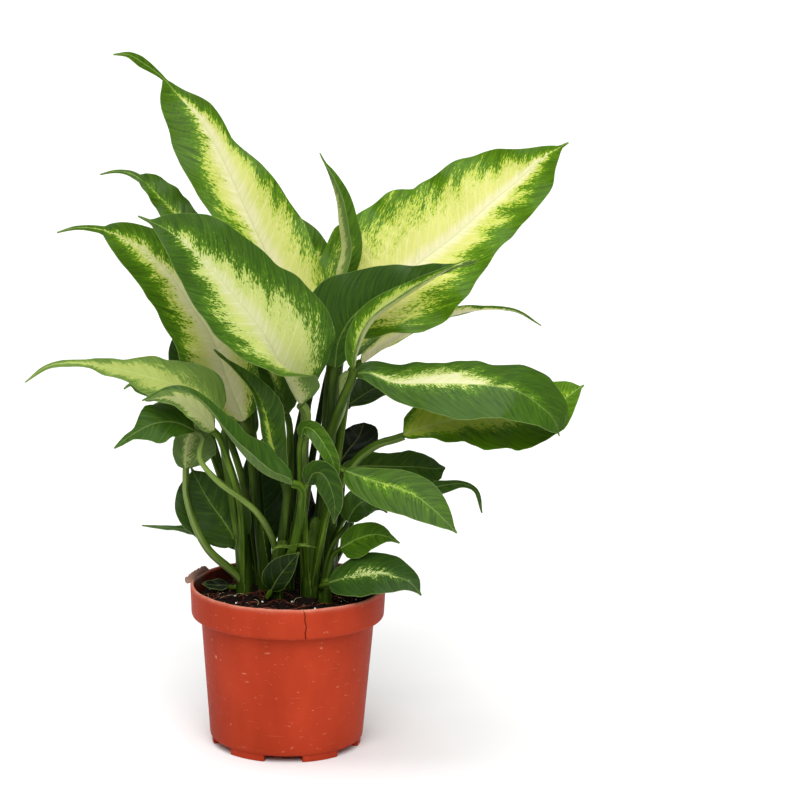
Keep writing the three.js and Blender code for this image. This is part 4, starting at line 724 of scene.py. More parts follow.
def stalk_net(leaf):
    """Rings of a stalk, grooved above, with a clasping sheath low down."""
    place = cane_place(leaf["shoot"])
    radius = SHOOTS[leaf["shoot"]][2]
    first, *rest = [seen(p) for p in leaf["stalk"]]
    offset = first[:2] - place
    most = max(radius * 0.92 - leaf["girth"], 0)
    offset *= min(1, most / max(np.linalg.norm(offset), 1e-6))
    foot = place + offset
    base, ahead, upper, _, _ = rib_frames(leaf, np.array([0.0, 0.01]))
    centre = base[0] - upper[0] * KEEL_DEPTH / 2
    points = [(*foot, STALK_START - 6), (*foot, CANE_TOP), *rest,
              centre - ahead[0] * NECK_LENGTH, centre - ahead[0] * NECK_GAP]
    path = smooth_path(points)
    length = at_shares(path, np.array([1.0]))[1]
    steps = int(np.clip(length / (4), 10, 60))
    shares = np.linspace(0, 1, steps + 1)
    place, _ = at_shares(path, shares)
    tangent = unit(np.gradient(place, axis=0))
    up = upper[0]
    ups = []
    for direction in tangent[::-1]:
        up = up - direction * up.dot(direction)
        up /= np.linalg.norm(up)
        ups.append(up)
    ups = np.array(ups[::-1])
    side = np.cross(tangent, ups)
    turn = np.linspace(0, 2 * np.pi, STALK_SIDES, endpoint=False)
    from_top = np.abs((turn - np.pi / 2 + np.pi) % (2 * np.pi) - np.pi)
    girth = leaf["girth"] * (1 + (STALK_TAPER - 1) * shares)
    sheath = np.clip(1 - shares / 0.8, 0, 1) ** 0.5
    groove = (0.16 + 0.2 * sheath)[:, None] * np.exp(-(from_top / 0.45) ** 2)[None]
    wing = (WING_HEIGHT * sheath)[:, None] * np.exp(-((from_top - 0.85) / 0.24) ** 2)[None]
    reach = girth[:, None] * (1 - groove + wing)
    sideways, upwards = (reach * np.cos(turn))[..., None], (reach * np.sin(turn))[..., None]
    rings = place[:, None] + side[:, None] * sideways + ups[:, None] * upwards
    seed = sum(ord(letter) for letter in leaf["name"]) % 89
    grain = fields(girth[:, None] * turn, (shares * length)[:, None], 17.0 * seed)
    tint = fields(shares[:, None], wing / WING_HEIGHT, leaf["tone"])
    return rings, grain, tint


# The clump of stalks: its axis across and behind, its radius, and how high its painted shade goes.
CLUMP_AXIS = (0.0, 8.0)
CLUMP_RADIUS = 27
CLUMP_SHADE_TOP = 250


def column_net(name):
    """Rings of the cane and, above it, the leaning column of sheaths that clasp one another."""
    place = cane_place(name)
    _, _, radius, rise, (across, back) = SHOOTS[name]
    path = smooth_path([(*place, CANE_FOOT), (*place, STALK_START), (*place, CANE_TOP),
                        (place[0] + across / 3, place[1] + back / 3, CANE_TOP + rise / 2),
                        (place[0] + across, place[1] + back, CANE_TOP + rise)])
    core, _ = at_shares(path, np.linspace(0, 1, 40))
    height = np.clip((core[:, 2] - STALK_START) / (CANE_TOP + rise - STALK_START), 0, 1)
    turn = np.linspace(0, 2 * np.pi, COLUMN_SIDES, endpoint=False)
    seed = sum(ord(letter) for letter in name)
    layers = (3 * turn[None] / (2 * np.pi) + 0.5 * height[:, None] + seed * 0.13) % 1
    overlap = np.where(layers < 0.86, layers / 0.86, (1 - layers) / 0.14)
    dome = np.where(height > 0.9, np.sqrt(np.clip(1.05 - ((height - 0.9) / 0.1) ** 2, 0, 1)), 1)
    swell = radius * (1 + (SHEATH_TAPER - 1) * height) * dome
    reach = swell[:, None] * (0.93 + 0.14 * overlap * np.minimum(1, height * 8)[:, None])
    rings = fields(core[:, :1] + reach * np.cos(turn), core[:, 1:2] + reach * np.sin(turn), core[:, 2:])
    grain = fields(radius * turn, rings[..., 2], 3.0 + seed)
    tint = fields(height[:, None] * 0.3, np.clip(overlap * 6 - 5, 0, 1) * (height[:, None] > 0), 0.0)
    return rings, grain, tint


def painted_clump_shade(rings):
    """Painted shade: inside the clump, low down, and on the sides that face inwards, the stalks are darkened.
    """
    core = rings.mean(1, keepdims=True)
    outward = core[..., :2] - CLUMP_AXIS
    spoke = (rings - core)[..., :2]
    size = np.linalg.norm(spoke, axis=-1) * np.linalg.norm(outward, axis=-1)
    facing = (spoke * outward).sum(-1) / np.maximum(size, 1e-6)
    low = np.clip((CLUMP_SHADE_TOP - rings[..., 2]) / 90, 0, 1)
    inside = np.clip(1.25 - np.linalg.norm(rings[..., :2] - CLUMP_AXIS, axis=-1) / CLUMP_RADIUS, 0, 1)
    return low * (0.55 * np.clip(0.25 - facing, 0, 1) + 0.75 * inside)


def shoot_piece(name, material):
    """A cane in the soil with the stalks that clasp it."""
    vertices, grain, tint, faces = [], [], [], []

    def take(rings, grains, tints):
        start = sum(len(v) for v in vertices)
        # The painted shade inside the clump lowers the stalk's tone.
        tints[..., 2] = np.maximum(tints[..., 2] - painted_clump_shade(rings), -1.2)
        vertices.append(rings.reshape(-1, 3))
        grain.append(grains.reshape(-1, 3))
        tint.append(tints.reshape(-1, 3))
        faces.extend(tube_faces(*rings.shape[:2], start))

    for leaf in LEAVES:
        if leaf["shoot"] == name:
            take(*stalk_net(leaf))
    take(*column_net(name))
    if name == "front":
        strip, sides = dry_strip()
        faces.extend(tuple(sum(len(v) for v in vertices) + i for i in side) for side in sides)
        vertices.append(strip)
        grain.append(strip)
        tint.append(np.tile((0.6, 0.3, 0.1), (len(strip), 1)))
    piece = build_mesh("stalks_" + name, np.vstack(vertices), faces, [material],
                       {"grain": np.vstack(grain), "tint": np.vstack(tint)})
    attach(piece, "root")
    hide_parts("shoot_" + name)
    return piece


def dry_strip():
    """A curled, dried strip of sheath that lies across the front of the stalks."""
    course = ((-11, 121, -25), (-5, 124, -26), (1, 123.5, -26.5), (9, 125, -27), (18, 123, -26))
    share = np.linspace(0, 1, 28)
    place, _ = at_shares(smooth_path([seen(p) for p in course]), share)
    lean = fields(0.2 * np.sin(9 * share), -0.5 + 0.4 * np.cos(7 * share), 1.0)
    widths = 0.25 + 1.25 * np.sin(np.pi * np.clip(share * 1.15, 0, 1)) ** 0.7
    return ribbon_net(place, lean, widths, 0.4, 0.5)


def stalk_material():
    """Fleshy green stalk tissue, smooth and satin: fine lighter lines along it, pale sheath edges."""
    material, add = new_material("Dieffenbachia stalk, satin green")
    grain = add("Attribute", attribute_name="grain").outputs["Vector"]
    tint = add("SeparateXYZ", [add("Attribute", attribute_name="tint").outputs["Vector"]])
    # Lines a little over 1 mm apart and 50 mm long; clouds 6 mm wide and 30 mm long.
    line_at = add("VectorMath", [grain, (0.8, 0.018, 1)], operation="MULTIPLY")
    cloud_at = add("VectorMath", [grain, (0.16, 0.03, 1)], operation="MULTIPLY")
    line = add("TexNoise", {"Vector": line_at, "Scale": 1, "Detail": 2.5, "Roughness": 0.6})
    cloud = add("TexNoise", {"Vector": cloud_at, "Scale": 1, "Detail": 2, "Roughness": 0.6})
    fade = add("MapRange", [line, 0.3, 0.7])
    skin = add("Mix", [fade, linear("#1B3006"), linear("#4A6814")])
    glow = add("MapRange", [cloud, 0.42, 0.7, 0, 0.65], **SMOOTH)
    skin = add("Mix", [glow, skin, linear("#6E8A2C")])
    # Tone: above zero a pale, striped stalk as painted light; below zero a dark one, old and in painted
    # shade.
    lighter = add("MapRange", [line, 0.25, 0.6])
    lighter = add("Math", [lighter, tint.outputs["Z"]], operation="MULTIPLY")
    lighter = add("Math", [lighter, 0.0], operation="MAXIMUM")
    skin = add("Mix", [lighter, skin, linear("#9DAC6C")])
    # Below zero the tone mixes in almost black green: old stalks, and painted shade.
    old_and_shaded = add("MapRange", [tint.outputs["Z"], 0.0, -1.0, 0, 0.9])
    skin = add("Mix", [old_and_shaded, skin, linear("#0C1A04")])
    # Painted shade: darker towards the foot of each stalk and low on the sheath columns.
    shade_near_soil = add("MapRange", [tint.outputs["X"], 0.0, 0.45, 0.65, 0.0])
    skin = add("Mix", [shade_near_soil, skin, linear("#1C2E08")])
    edge = add("MapRange", [tint.outputs["Y"], 0.45, 0.95, 0, 0.55], **SMOOTH)
    skin = add("Mix", [edge, skin, linear("#829A44")])
    bump = add("Bump", {"Height": line, "Strength": 0.3, "Distance": 0.3 * MM})
    shader = add("BsdfPrincipled", {"Base Color": skin, "Roughness": 0.42, "Normal": bump, "IOR": 1.42,
                                    "Specular IOR Level": 0.1, "Subsurface Weight": 0.1,
                                    "Subsurface Radius": (1.0, 1.2, 0.4), "Subsurface Scale": 1.2 * MM})
    add("OutputMaterial", {"Surface": shader})
    return material


# ---------------------------------------------------------------- pot

POT_SEGMENTS = 180
CRACK_TURN = math.radians(-77.5)
# Extra columns of points beside the split, in degrees from it.
CRACK_COLUMNS = (-0.5, -0.3, -0.16, 0, 0.16, 0.3, 0.5)
TEAR_TURN = math.radians(166)
# The profile's first points lie outside, up to the top of the lip.
OUTSIDE_POINTS = 36


def wobble(turn, seed, count):
    """A smooth random wave round the pot, between about -1 and 1."""
    rng = np.random.default_rng(seed)
    total = np.zeros_like(turn)
    for k in range(1, count + 1):
        total += rng.uniform(-1, 1) * np.sin(k * turn + rng.uniform(0, FULL_TURN)) / k ** 0.5
    return total / 2


def sloped(foot, top, steps):
    """Evenly spaced points of a straight stretch of the profile."""
    return [tuple(a + (b - a) * k / steps for a, b in zip(foot, top)) for k in range(steps + 1)]


def pot_profile():
    """Radius and height of the wall's section: under the floor, up the outside, over the lip, down inside."""
    rim_in, neck_in, floor_in = (r - POT_WALL for r in (RIM_LOWER_RADIUS, NECK_RADIUS, FLOOR_RADIUS))
    floor_top = FLOOR_BOTTOM + FLOOR_THICKNESS
    return [
        *((r, FLOOR_BOTTOM) for r in (0.5, 20, 40, 45.6)), (46.5, 4.3), (47.1, 5.0),
        *sloped((FLOOR_RADIUS, WALL_FOOT), (NECK_RADIUS, WALL_TOP), 14),
        (53.6, 80.0), (54.2, 80.4), (56.6, 80.7), (57.9, 80.9), (58.8, 81.4), (59.2, 82.2),
        *sloped((RIM_LOWER_RADIUS, BAND_FOOT), (RIM_RADIUS, BAND_TOP), 6),
        (59.95, 98.9), (59.7, 99.5), (59.2, 99.85), (58.7, 100.0), (58.2, 99.8), (57.9, 99.2),
        (rim_in, 98), (rim_in, 90), (rim_in, 83.4), (57, 82.6), (52.5, 81.8), (neck_in, 80.5), (49, 45),
        (floor_in, floor_top + 0.6), *((r, floor_top) for r in (45, 20, 0.5)),
    ]


def foot_net(index):
    """One of the raised arcs that the pot stands on."""
    begin = FOOT_START + index * 2 * np.pi / FOOT_COUNT
    arc = np.linspace(begin, begin + FOOT_ARC, 13)
    section = [(FOOT_INNER, FOOT_ROOT), (FOOT_INNER, 0.5), (FOOT_INNER + 0.4, 0.0), (FOOT_OUTER - 0.4, 0.0),
               (FOOT_OUTER, 0.4), (FOOT_OUTER + 0.3, FOOT_ROOT)]
    return np.array([[(r * math.cos(a), r * math.sin(a), z) for r, z in section] for a in arc])


def boss_net():
    """The round boss under the middle of the floor."""
    spin = np.linspace(0, 2 * np.pi, 48, endpoint=False)
    section = [(0.5, 0.0), (BOSS_RADIUS - 0.5, 0.0), (BOSS_RADIUS, 0.5), (BOSS_RADIUS + 0.2, FOOT_ROOT),
               (0.5, FOOT_ROOT)]
    return np.array([[(r * math.cos(a), r * math.sin(a), z) for a in spin] for r, z in section])


def pot_piece():
    """The turned wall and rim band, its feet and boss, the split in the band and the torn lip."""
    radius, height = np.array(pot_profile()).T
    turn = np.linspace(0, 2 * np.pi, POT_SEGMENTS, endpoint=False)
    turn = np.sort(np.r_[turn, CRACK_TURN % (2 * np.pi) + np.radians(CRACK_COLUMNS)])
    # The split wanders a little as it climbs the band; the columns beside it follow it.
    climb = np.clip((height - 80) / 20, 0, 1)
    off = (turn - CRACK_TURN + np.pi) % (2 * np.pi) - np.pi
    wander = np.radians(0.9 * np.sin(5 * climb) * climb + 0.35 * np.sin(17 * climb))
    angle = turn[None] + (wander * (climb > 0))[:, None] * np.exp(-(off / 0.05) ** 2)[None]
    outside = (np.arange(len(radius)) < OUTSIDE_POINTS)[:, None]
    notch = np.exp(-(off / np.radians(0.22)) ** 2)[None] * np.clip((height - 79.5) / 1.5, 0, 1)[:, None]
    notch = notch * outside
    reach = radius[:, None] - 1.3 * notch * (0.45 + 0.55 * (1 - climb))[:, None]
    lip = np.clip((height - 96) / 4, 0, 1)[:, None]
    rough = 0.25 * wobble(turn * 9, 3, 7)[None] * lip
    tear = np.exp(-((turn - TEAR_TURN) / 0.22) ** 2)[None] * np.clip((height - 90) / 10, 0, 1)[:, None]
    frayed = wobble(turn * 13, 5, 8)[None]
    reach = reach + tear * (0.5 + 0.7 * frayed)
    level = height[:, None] + rough + tear * (-0.6 + 0.9 * wobble(turn * 17, 8, 8)[None])
    rings = fields(reach * np.cos(angle), reach * np.sin(angle), np.minimum(level, POT_HEIGHT + 2))
    wear = fields(tear, lip, np.clip(notch, 0, 1) - 2.0 * (~outside) * (height < 99)[:, None])
    vertices, tint = [rings.reshape(-1, 3)], [wear.reshape(-1, 3)]
    faces = tube_faces(*rings.shape[:2], flip=True)
    for net, is_foot in [(foot_net(i), True) for i in range(FOOT_COUNT)] + [(boss_net(), False)]:
        start = sum(len(v) for v in vertices)
        faces += tube_faces(*net.shape[:2], start, flip=True, flip_ends=is_foot)
        vertices.append(net.reshape(-1, 3))
        tint.append(np.zeros_like(vertices[-1]))
    return np.vstack(vertices), faces, np.vstack(tint)


def pot_material(settings):
    """Injection-moulded polypropylene coloured terracotta red: satin, slightly milky where rubbed,
    with faint scuffs, a pale rubbed lip that also has a painted highlight, and painted shade in the split."""
    material, add = new_material("Moulded polypropylene, satin terracotta red")
    place = add("TexCoord").outputs["Object"]
    tint = add("SeparateXYZ", [add("Attribute", attribute_name="tint").outputs["Vector"]])
    # Rubbed patches 35 mm wide and 70 mm high, scuffs 6 mm wide and 2 mm high, and specks of 1 mm.
    cloud_at = add("VectorMath", [place, (28, 28, 14)], operation="MULTIPLY")
    cloud = add("TexNoise", {"Vector": cloud_at, "Scale": 1, "Detail": 3, "Roughness": 0.55})
    scuff_at = add("VectorMath", [place, (160, 160, 420)], operation="MULTIPLY")
    scuff = add("TexNoise", {"Vector": scuff_at, "Scale": 1, "Detail": 4, "Roughness": 0.7})
    speck = add("TexNoise", {"Vector": place, "Scale": 900, "Detail": 2, "Roughness": 0.6})
    skin = add("MapRange", [cloud, 0.35, 0.68])
    skin = add("Mix", [skin, (*settings.dark_red, 1), (*settings.red, 1)])
    marks = add("MapRange", [scuff, 0.62, 0.74, 0, 0.45], **SMOOTH)
    # Hair scratches round the wall, a few tenths of a millimetre high and 10 to 20 mm long.
    scratch_at = add("VectorMath", [place, (55, 55, 2600)], operation="MULTIPLY")
    scratch = add("TexNoise", {"Vector": scratch_at, "Scale": 1, "Detail": 1, "Roughness": 0.5})
    scratch = add("MapRange", [scratch, 0.75, 0.82, 0, 0.3], **SMOOTH)
    # Chips up to 3 mm across, in the few cells of 10 mm whose random size is near the greatest.
    cell = add("TexVoronoi", {"Vector": place, "Scale": 95, "Randomness": 1.0})
    chip_size = add("SeparateXYZ", [cell.outputs["Color"]])
    chip_size = add("Math", [chip_size.outputs["X"], 14.0], operation="POWER")
    chip_size = add("Math", [chip_size, 0.16], operation="MULTIPLY")
    chip = add("Math", [chip_size, cell], operation="SUBTRACT")
    chip = add("MapRange", [chip, -0.03, 0.06, 0, 0.55])
    marks = add("Math", [marks, scratch], operation="MAXIMUM")
    marks = add("Math", [marks, chip], operation="MAXIMUM")
    skin = add("Mix", [marks, skin, linear("#E09A86")])
    # Pale lip along the rim's top: rubbed wear, and a painted highlight.
    rubbed_and_highlit_lip = add("Math", [tint.outputs["Y"], 3.0], operation="POWER")
    rubbed_and_highlit_lip = add("Math", [rubbed_and_highlit_lip, scuff], operation="MULTIPLY")
    skin = add("Mix", [rubbed_and_highlit_lip, skin, linear("#D9A08A")])
    torn = add("MapRange", [tint.outputs["X"], 0.25, 0.7, 0, 0.85])
    skin = add("Mix", [torn, skin, linear("#8B7468")])
    # Painted shade in the split: the notch turns dark red.
    split = add("Math", [tint.outputs["Z"], 0.0], operation="MAXIMUM")
    skin = add("Mix", [split, skin, linear("#5A1D12")])
    # Darker and browner inside the pot, below the lip.
    darker_inside = add("Math", [tint.outputs["Z"], -0.35, cloud], operation="MULTIPLY_ADD")
    darker_inside = add("MapRange", [darker_inside, 0.8, 1.25, 0, 0.85])
    skin = add("Mix", [darker_inside, skin, linear("#2A170E")])
    rough = add("MapRange", [scuff, 0.3, 0.75, 0.45, 0.62])
    bump = add("Bump", {"Height": speck, "Strength": 0.06, "Distance": 0.2 * MM})
    shader = add("BsdfPrincipled", {"Base Color": skin, "Roughness": rough, "Normal": bump, "IOR": 1.49,
                                    "Specular IOR Level": 0.06})
    add("OutputMaterial", {"Surface": shader})
    return material


# ---------------------------------------------------------------- soil

def soil_level(radius):
    """Height of the soil at a distance from the pot's axis."""
    return np.interp(radius, [0, SOIL_RADIUS * 0.4, SOIL_RADIUS * 0.8, SOIL_RADIUS],
                     [SOIL_TOP, SOIL_TOP, SOIL_SHOULDER, SOIL_EDGE])


def soil_piece(material):
    """The root ball's lumpy top, down to the pot's floor."""
    rng = np.random.default_rng(11)
    rings, columns = 60, 200
    radius = np.linspace(0.4, SOIL_RADIUS, rings)
    turn = np.linspace(0, 2 * np.pi, columns, endpoint=False)
    x, y = radius[:, None] * np.cos(turn), radius[:, None] * np.sin(turn)
    lumps = np.zeros_like(x)
    for size, height in ((14, 0.9), (7, 0.7), (3.5, 0.5), (1.8, 0.35)):
        for _ in range(5):
            way, shift = rng.uniform(0, FULL_TURN), rng.uniform(0, FULL_TURN)
            ahead = 2 * np.pi * (x * np.cos(way) + y * np.sin(way)) / size
            lumps += height / 3 * np.sin(ahead + shift + np.sin(y / size * 2))
    lumps += rng.normal(0, 0.22, x.shape)
    fade = np.clip((SOIL_RADIUS - radius) / 3, 0, 1)[:, None]
    z = soil_level(radius)[:, None] - 0.6 + lumps * (0.35 + 0.65 * fade)
    # The ball's side follows the inside of the pot down to just above its floor.
    side = [fields(r * np.cos(turn), r * np.sin(turn), level)
            for r, level in ((SOIL_RADIUS, 84), (51.4, RIM_BAND_FOOT), (45.5, 6.4), (0.4, 6.3))]
    net = np.concatenate([fields(x, y, np.minimum(z, SOIL_CREST)), np.array(side)])
    faces = tube_faces(*net.shape[:2])
    piece = build_mesh("soil_ball", net.reshape(-1, 3), faces, [material], smooth_angle=35)
    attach(piece, "root")
    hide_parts("soil")
    return piece


def soil_material():
    """Damp peat and coir: almost black brown, dull, crumbly to the grain."""
    material, add = new_material("Peat and coir potting soil, damp")
    place = add("TexCoord").outputs["Object"]
    # Crumbs are a little over 2 mm, and the grit between them 1.5 mm.
    crumb = add("TexNoise", {"Vector": place, "Scale": 420, "Detail": 5, "Roughness": 0.7})
    grit = add("TexVoronoi", {"Vector": place, "Scale": 650})
    tone = add("MapRange", [crumb, 0.35, 0.72])
    skin = add("Mix", [tone, linear("#060302"), linear("#1C0F09")])
    bump = add("Bump", {"Height": grit, "Strength": 0.8, "Distance": 0.9 * MM})
    shader = add("BsdfPrincipled", {"Base Color": skin, "Roughness": 0.9, "Normal": bump,
                                    "Specular IOR Level": 0.12})
    add("OutputMaterial", {"Surface": shader})
    return material


def plain_material(name, low, high, roughness, scale):
    """A dull natural crumb or fibre whose colour drifts between two tones."""
    material, add = new_material(name)
    place = add("TexCoord").outputs["Object"]
    drift = add("TexNoise", {"Vector": place, "Scale": scale, "Detail": 2})
    fade = add("MapRange", [drift, 0.35, 0.65])
    skin = add("Mix", [fade, linear(low), linear(high)])
    bump = add("Bump", {"Height": drift, "Strength": 0.4, "Distance": 0.3 * MM})
    shader = add("BsdfPrincipled", {"Base Color": skin, "Roughness": roughness, "Normal": bump,
                                    "Specular IOR Level": 0.15})
    add("OutputMaterial", {"Surface": shader})
    return material


def random_spot(rng, reach):
    """Distance from the axis, and place across and behind, of a spot picked within reach."""
    r, turn = reach * rng.uniform(0, 1) ** 0.5, rng.uniform(0, FULL_TURN)
    return r, r * math.cos(turn), r * math.sin(turn)


def clear_of_canes(x, y, margin):
    """Whether a spot is at least the margin away from every cane."""
    return all(math.hypot(x - cane_place(n)[0], y - cane_place(n)[1]) > SHOOTS[n][2] + margin for n in SHOOTS)


def crumb_piece(name, count, sizes, seed, material, sink):
    """Loose crumbs lying on the soil, each a rough little lump."""
    rng = np.random.default_rng(seed)
    vertices, faces = [], []
    lump = bmesh.new()
    bmesh.ops.create_icosphere(lump, subdivisions=1, radius=1)
    corner = np.array([v.co for v in lump.verts])
    sides = [tuple(v.index for v in f.verts) for f in lump.faces]
    lump.free()
    while len(vertices) < count:
        r, x, y = random_spot(rng, CRUMB_REACH)
        if not clear_of_canes(x, y, 1.5):
            continue
        size = rng.uniform(*sizes)
        shape = corner * rng.uniform(0.65, 1.25, corner.shape) * size * rng.uniform(0.6, 1, 3)
        spin = rng.uniform(0, FULL_TURN)
        c, s = math.cos(spin), math.sin(spin)
        shape = shape @ np.array([[c, s, 0], [-s, c, 0], [0, 0, 1]])
        z = float(soil_level(r)) - 0.3 + size * sink
        start = len(vertices) * len(corner)
        vertices.append(shape + (x, y, z))
        faces += [tuple(start + v for v in side) for side in sides]
    piece = build_mesh(name, np.vstack(vertices), faces, [material], smooth_angle=40)
    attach(piece, "root")
    return piece


def fibre_piece(name, count, seed, material, thickness, span):
    """Short root and coir fibres that lie on the soil."""
    rng = np.random.default_rng(seed)
    vertices, faces = [], []
    for _ in range(count):
        _, x, y = random_spot(rng, FIBRE_REACH)
        way, bend, length = rng.uniform(0, FULL_TURN), rng.uniform(-1.2, 1.2), rng.uniform(*span)
        steps = np.linspace(0, 1, FIBRE_STEPS)
        heading = way + bend * steps
        x = x + np.cumsum(np.cos(heading)) * length / FIBRE_STEPS
        y = y + np.cumsum(np.sin(heading)) * length / FIBRE_STEPS
        far = np.hypot(x, y)
        if far.max() > FIBRE_END or not all(clear_of_canes(a, b, 0.8) for a, b in zip(x, y)):
            continue
        z = soil_level(far) + 0.4 + 0.9 * np.sin(np.pi * steps) * rng.uniform(0.2, 1.4)
        core = fields(x, y, z)
        ahead = unit(np.gradient(core, axis=0))
        side = unit(np.cross(ahead, (0, 0, 1)))
        up = np.cross(side, ahead)
        ring = [core + thickness * (side * math.cos(a) + up * math.sin(a)) for a in QUARTERS]
        faces += tube_faces(FIBRE_STEPS, len(QUARTERS), FIBRE_STEPS * len(QUARTERS) * len(vertices))
        vertices.append(np.stack(ring, 1).reshape(-1, 3))
    piece = build_mesh(name, np.vstack(vertices), faces, [material])
    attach(piece, "root")
    return piece


# ---------------------------------------------------------------- drain holes, torn strips

def drill_floor(shell, vertices, tint):
    """Cuts the drain holes through the pot's floor, and gives the wear back to the cut mesh."""
    level = FLOOR_BOTTOM + FLOOR_THICKNESS / 2
    for i in range(DRAIN_COUNT):
        turn = (i + 0.5) * 2 * math.pi / DRAIN_COUNT
        spot = (DRAIN_RING * MM * math.cos(turn), DRAIN_RING * MM * math.sin(turn), level * MM)
        bpy.ops.mesh.primitive_cylinder_add(vertices=32, radius=DRAIN_RADIUS * MM,
                                            depth=3 * FLOOR_THICKNESS * MM, location=spot)
        punch = bpy.context.object
        cut = shell.modifiers.new("drain", "BOOLEAN")
        cut.operation, cut.solver, cut.object = "DIFFERENCE", "EXACT", punch
        bpy.context.view_layer.objects.active = shell
        with bpy.context.temp_override(object=shell):
            bpy.ops.object.modifier_apply(modifier="drain")
        bpy.data.objects.remove(punch, do_unlink=True)
    nearest = KDTree(len(vertices))
    for i, vertex in enumerate(vertices * MM):
        nearest.insert(vertex, i)
    nearest.balance()
    layer = shell.data.attributes.get("tint") or shell.data.attributes.new("tint", "FLOAT_VECTOR", "POINT")
    found = [nearest.find(vertex.co)[1] for vertex in shell.data.vertices]
    layer.data.foreach_set("vector", tint[found].astype(np.float32).ravel())


def ribbon_net(core, across, widths, thickness, curl):
    """Closed strip along core, its width along across, curled over its length."""
    core, across = np.asarray(core, float), unit(np.asarray(across, float))
    ahead = unit(np.gradient(core, axis=0))
    normal = unit(np.cross(across, ahead))
    reach = np.linspace(-1, 1, 7)
    top = core[:, None] + across[:, None] * (np.asarray(widths)[:, None] * reach)[..., None]
    top = top + normal[:, None] * (curl * (1 - reach ** 2))[None, :, None]
    under = top - normal[:, None] * thickness
    return np.vstack([top.reshape(-1, 3), under.reshape(-1, 3)]), sum(sheet_faces(*top.shape[:2]), [])


def torn_flap():
    """Frayed shred of the lip at the left rear, bent outwards where the band was torn."""
    count = 48
    turn = np.radians(np.linspace(150, 179, count))
    share = np.linspace(0, 1, count)
    frayed = 0.9 * wobble(share * 47, 4, 7) + 0.5 * wobble(share * 19, 6, 4)
    body = np.clip(np.minimum(share * 7, (1 - share) * 9), 0, 1) ** 0.7
    height = body * (3.2 + frayed) * (1 - 0.35 * share)
    out = body * (0.8 + 4.6 * share ** 2) + 3.4 * np.clip((share - 0.86) / 0.14, 0, 1)
    foot = fields(58.6 * np.cos(turn), 58.6 * np.sin(turn), 99.4)
    tip = fields((58.8 + out) * np.cos(turn), (58.8 + out) * np.sin(turn), 100.2 + height - 1.6 * share ** 4)
    return ribbon_net((foot + tip) / 2, tip - foot, np.linalg.norm(tip - foot, axis=1) / 2, 0.5, 0.4)


# ---------------------------------------------------------------- settings

def colour_property(name, description, code):
    """A colour setting whose default is an sRGB hex code."""
    return FloatVectorProperty(name=name, description=description, subtype="COLOR", size=3, min=0, max=1,
                               default=linear(code)[:3])


class PotSettings(bpy.types.PropertyGroup):
    red: colour_property("Red", "Terracotta red of the moulded pot", "#AE3B20")
    dark_red: colour_property("Dark Red", "Duller red of its rubbed patches", "#9A3119")


class FoliageSettings(bpy.types.PropertyGroup):
    thickness: FloatProperty(name="Blade Thickness", description="Thickness of a blade beside its midrib",
                             default=BLADE_THICKNESS * MM, unit="LENGTH", subtype="DISTANCE")


class StageSettings(bpy.types.PropertyGroup):
    sun: FloatProperty(name="Soft Lights", description="Strength of the soft lights together", default=5.6)
    sky: FloatProperty(name="Fill Light", description="Strength of the even fill light", default=0.12)
    floor: colour_property("Floor", "Pale floor", "#ECECEC")
    spread: FloatProperty(name="Softness", description="Angle that the key light fills",
                          default=math.radians(50), subtype="ANGLE")


class PlantSettings(bpy.types.PropertyGroup):
    pot: PointerProperty(type=PotSettings)
    foliage: PointerProperty(type=FoliageSettings)
    stage: PointerProperty(type=StageSettings)


# ---------------------------------------------------------------- operators

# Camera, tilted down and a little to one side, in degrees; its sensor and lens are in millimetres.
CAMERA_PITCH = 11.6
CAMERA_ROLL = 1.1
SENSOR_WIDTH = 36
FOCAL_LENGTH = 126.07


class PLANT_OT_stage(bpy.types.Operator):
    """Adds the camera, the pale floor and the soft light"""
    bl_idname = "plant.stage"
    bl_label = "Camera, Floor and Light"

    def execute(self, context):
        settings = context.scene.plant.stage
        pitch, roll = math.radians(CAMERA_PITCH), math.radians(CAMERA_ROLL)
        forward = Vector((0, math.cos(pitch), -math.sin(pitch)))
        level_up, level_right = Vector((0, math.sin(pitch), math.cos(pitch))), Vector((1, 0, 0))
        up = level_up * math.cos(roll) - level_right * math.sin(roll)
        right = level_right * math.cos(roll) + level_up * math.sin(roll)
        lens = bpy.data.cameras.new("camera")
        lens.sensor_width, lens.lens = SENSOR_WIDTH, FOCAL_LENGTH
        lens.clip_end = 100
        camera = bpy.data.objects.new("camera", lens)
        facing = Matrix((right, up, -forward)).transposed().to_4x4()
        camera.matrix_world = Matrix.Translation(Vector(EYE) * MM) @ facing
        context.scene.collection.objects.link(camera)
        context.scene.camera = camera
        bpy.ops.mesh.primitive_plane_add(size=40, location=(0, 8, 0))
        floor = context.object
        floor.name = "floor"
        material, add = new_material("Matt white backdrop paper")
        shader = add("BsdfPrincipled", {"Base Color": (*settings.floor, 1), "Roughness": 1.0,
                                        "Specular IOR Level": 0.0})
        add("OutputMaterial", {"Surface": shader})
        floor.data.materials.append(material)
        for name, share, way in (("front", 0.52, (-0.04, 0.75, -0.8)), ("top", 0.36, (0.12, -0.15, -1.0)),
                                 ("left", 0.05, (1.0, 0.3, -0.8)), ("right", 0.05, (-1.0, 0.3, -0.8))):
            sun = bpy.data.lights.new(name, "SUN")
            sun.energy, sun.angle = settings.sun * share, settings.spread
            box = bpy.data.objects.new(name, sun)
            box.rotation_euler = Vector(way).to_track_quat("-Z", "Y").to_euler()
            context.scene.collection.objects.link(box)
        world = bpy.data.worlds.new("studio")
        world.use_nodes = True
        sky = world.node_tree.nodes["Background"]
        sky.inputs["Color"].default_value = (1, 1, 1, 1)
        sky.inputs["Strength"].default_value = settings.sky
        context.scene.world = world
        context.scene.view_settings.view_transform = "Standard"
        return {"FINISHED"}


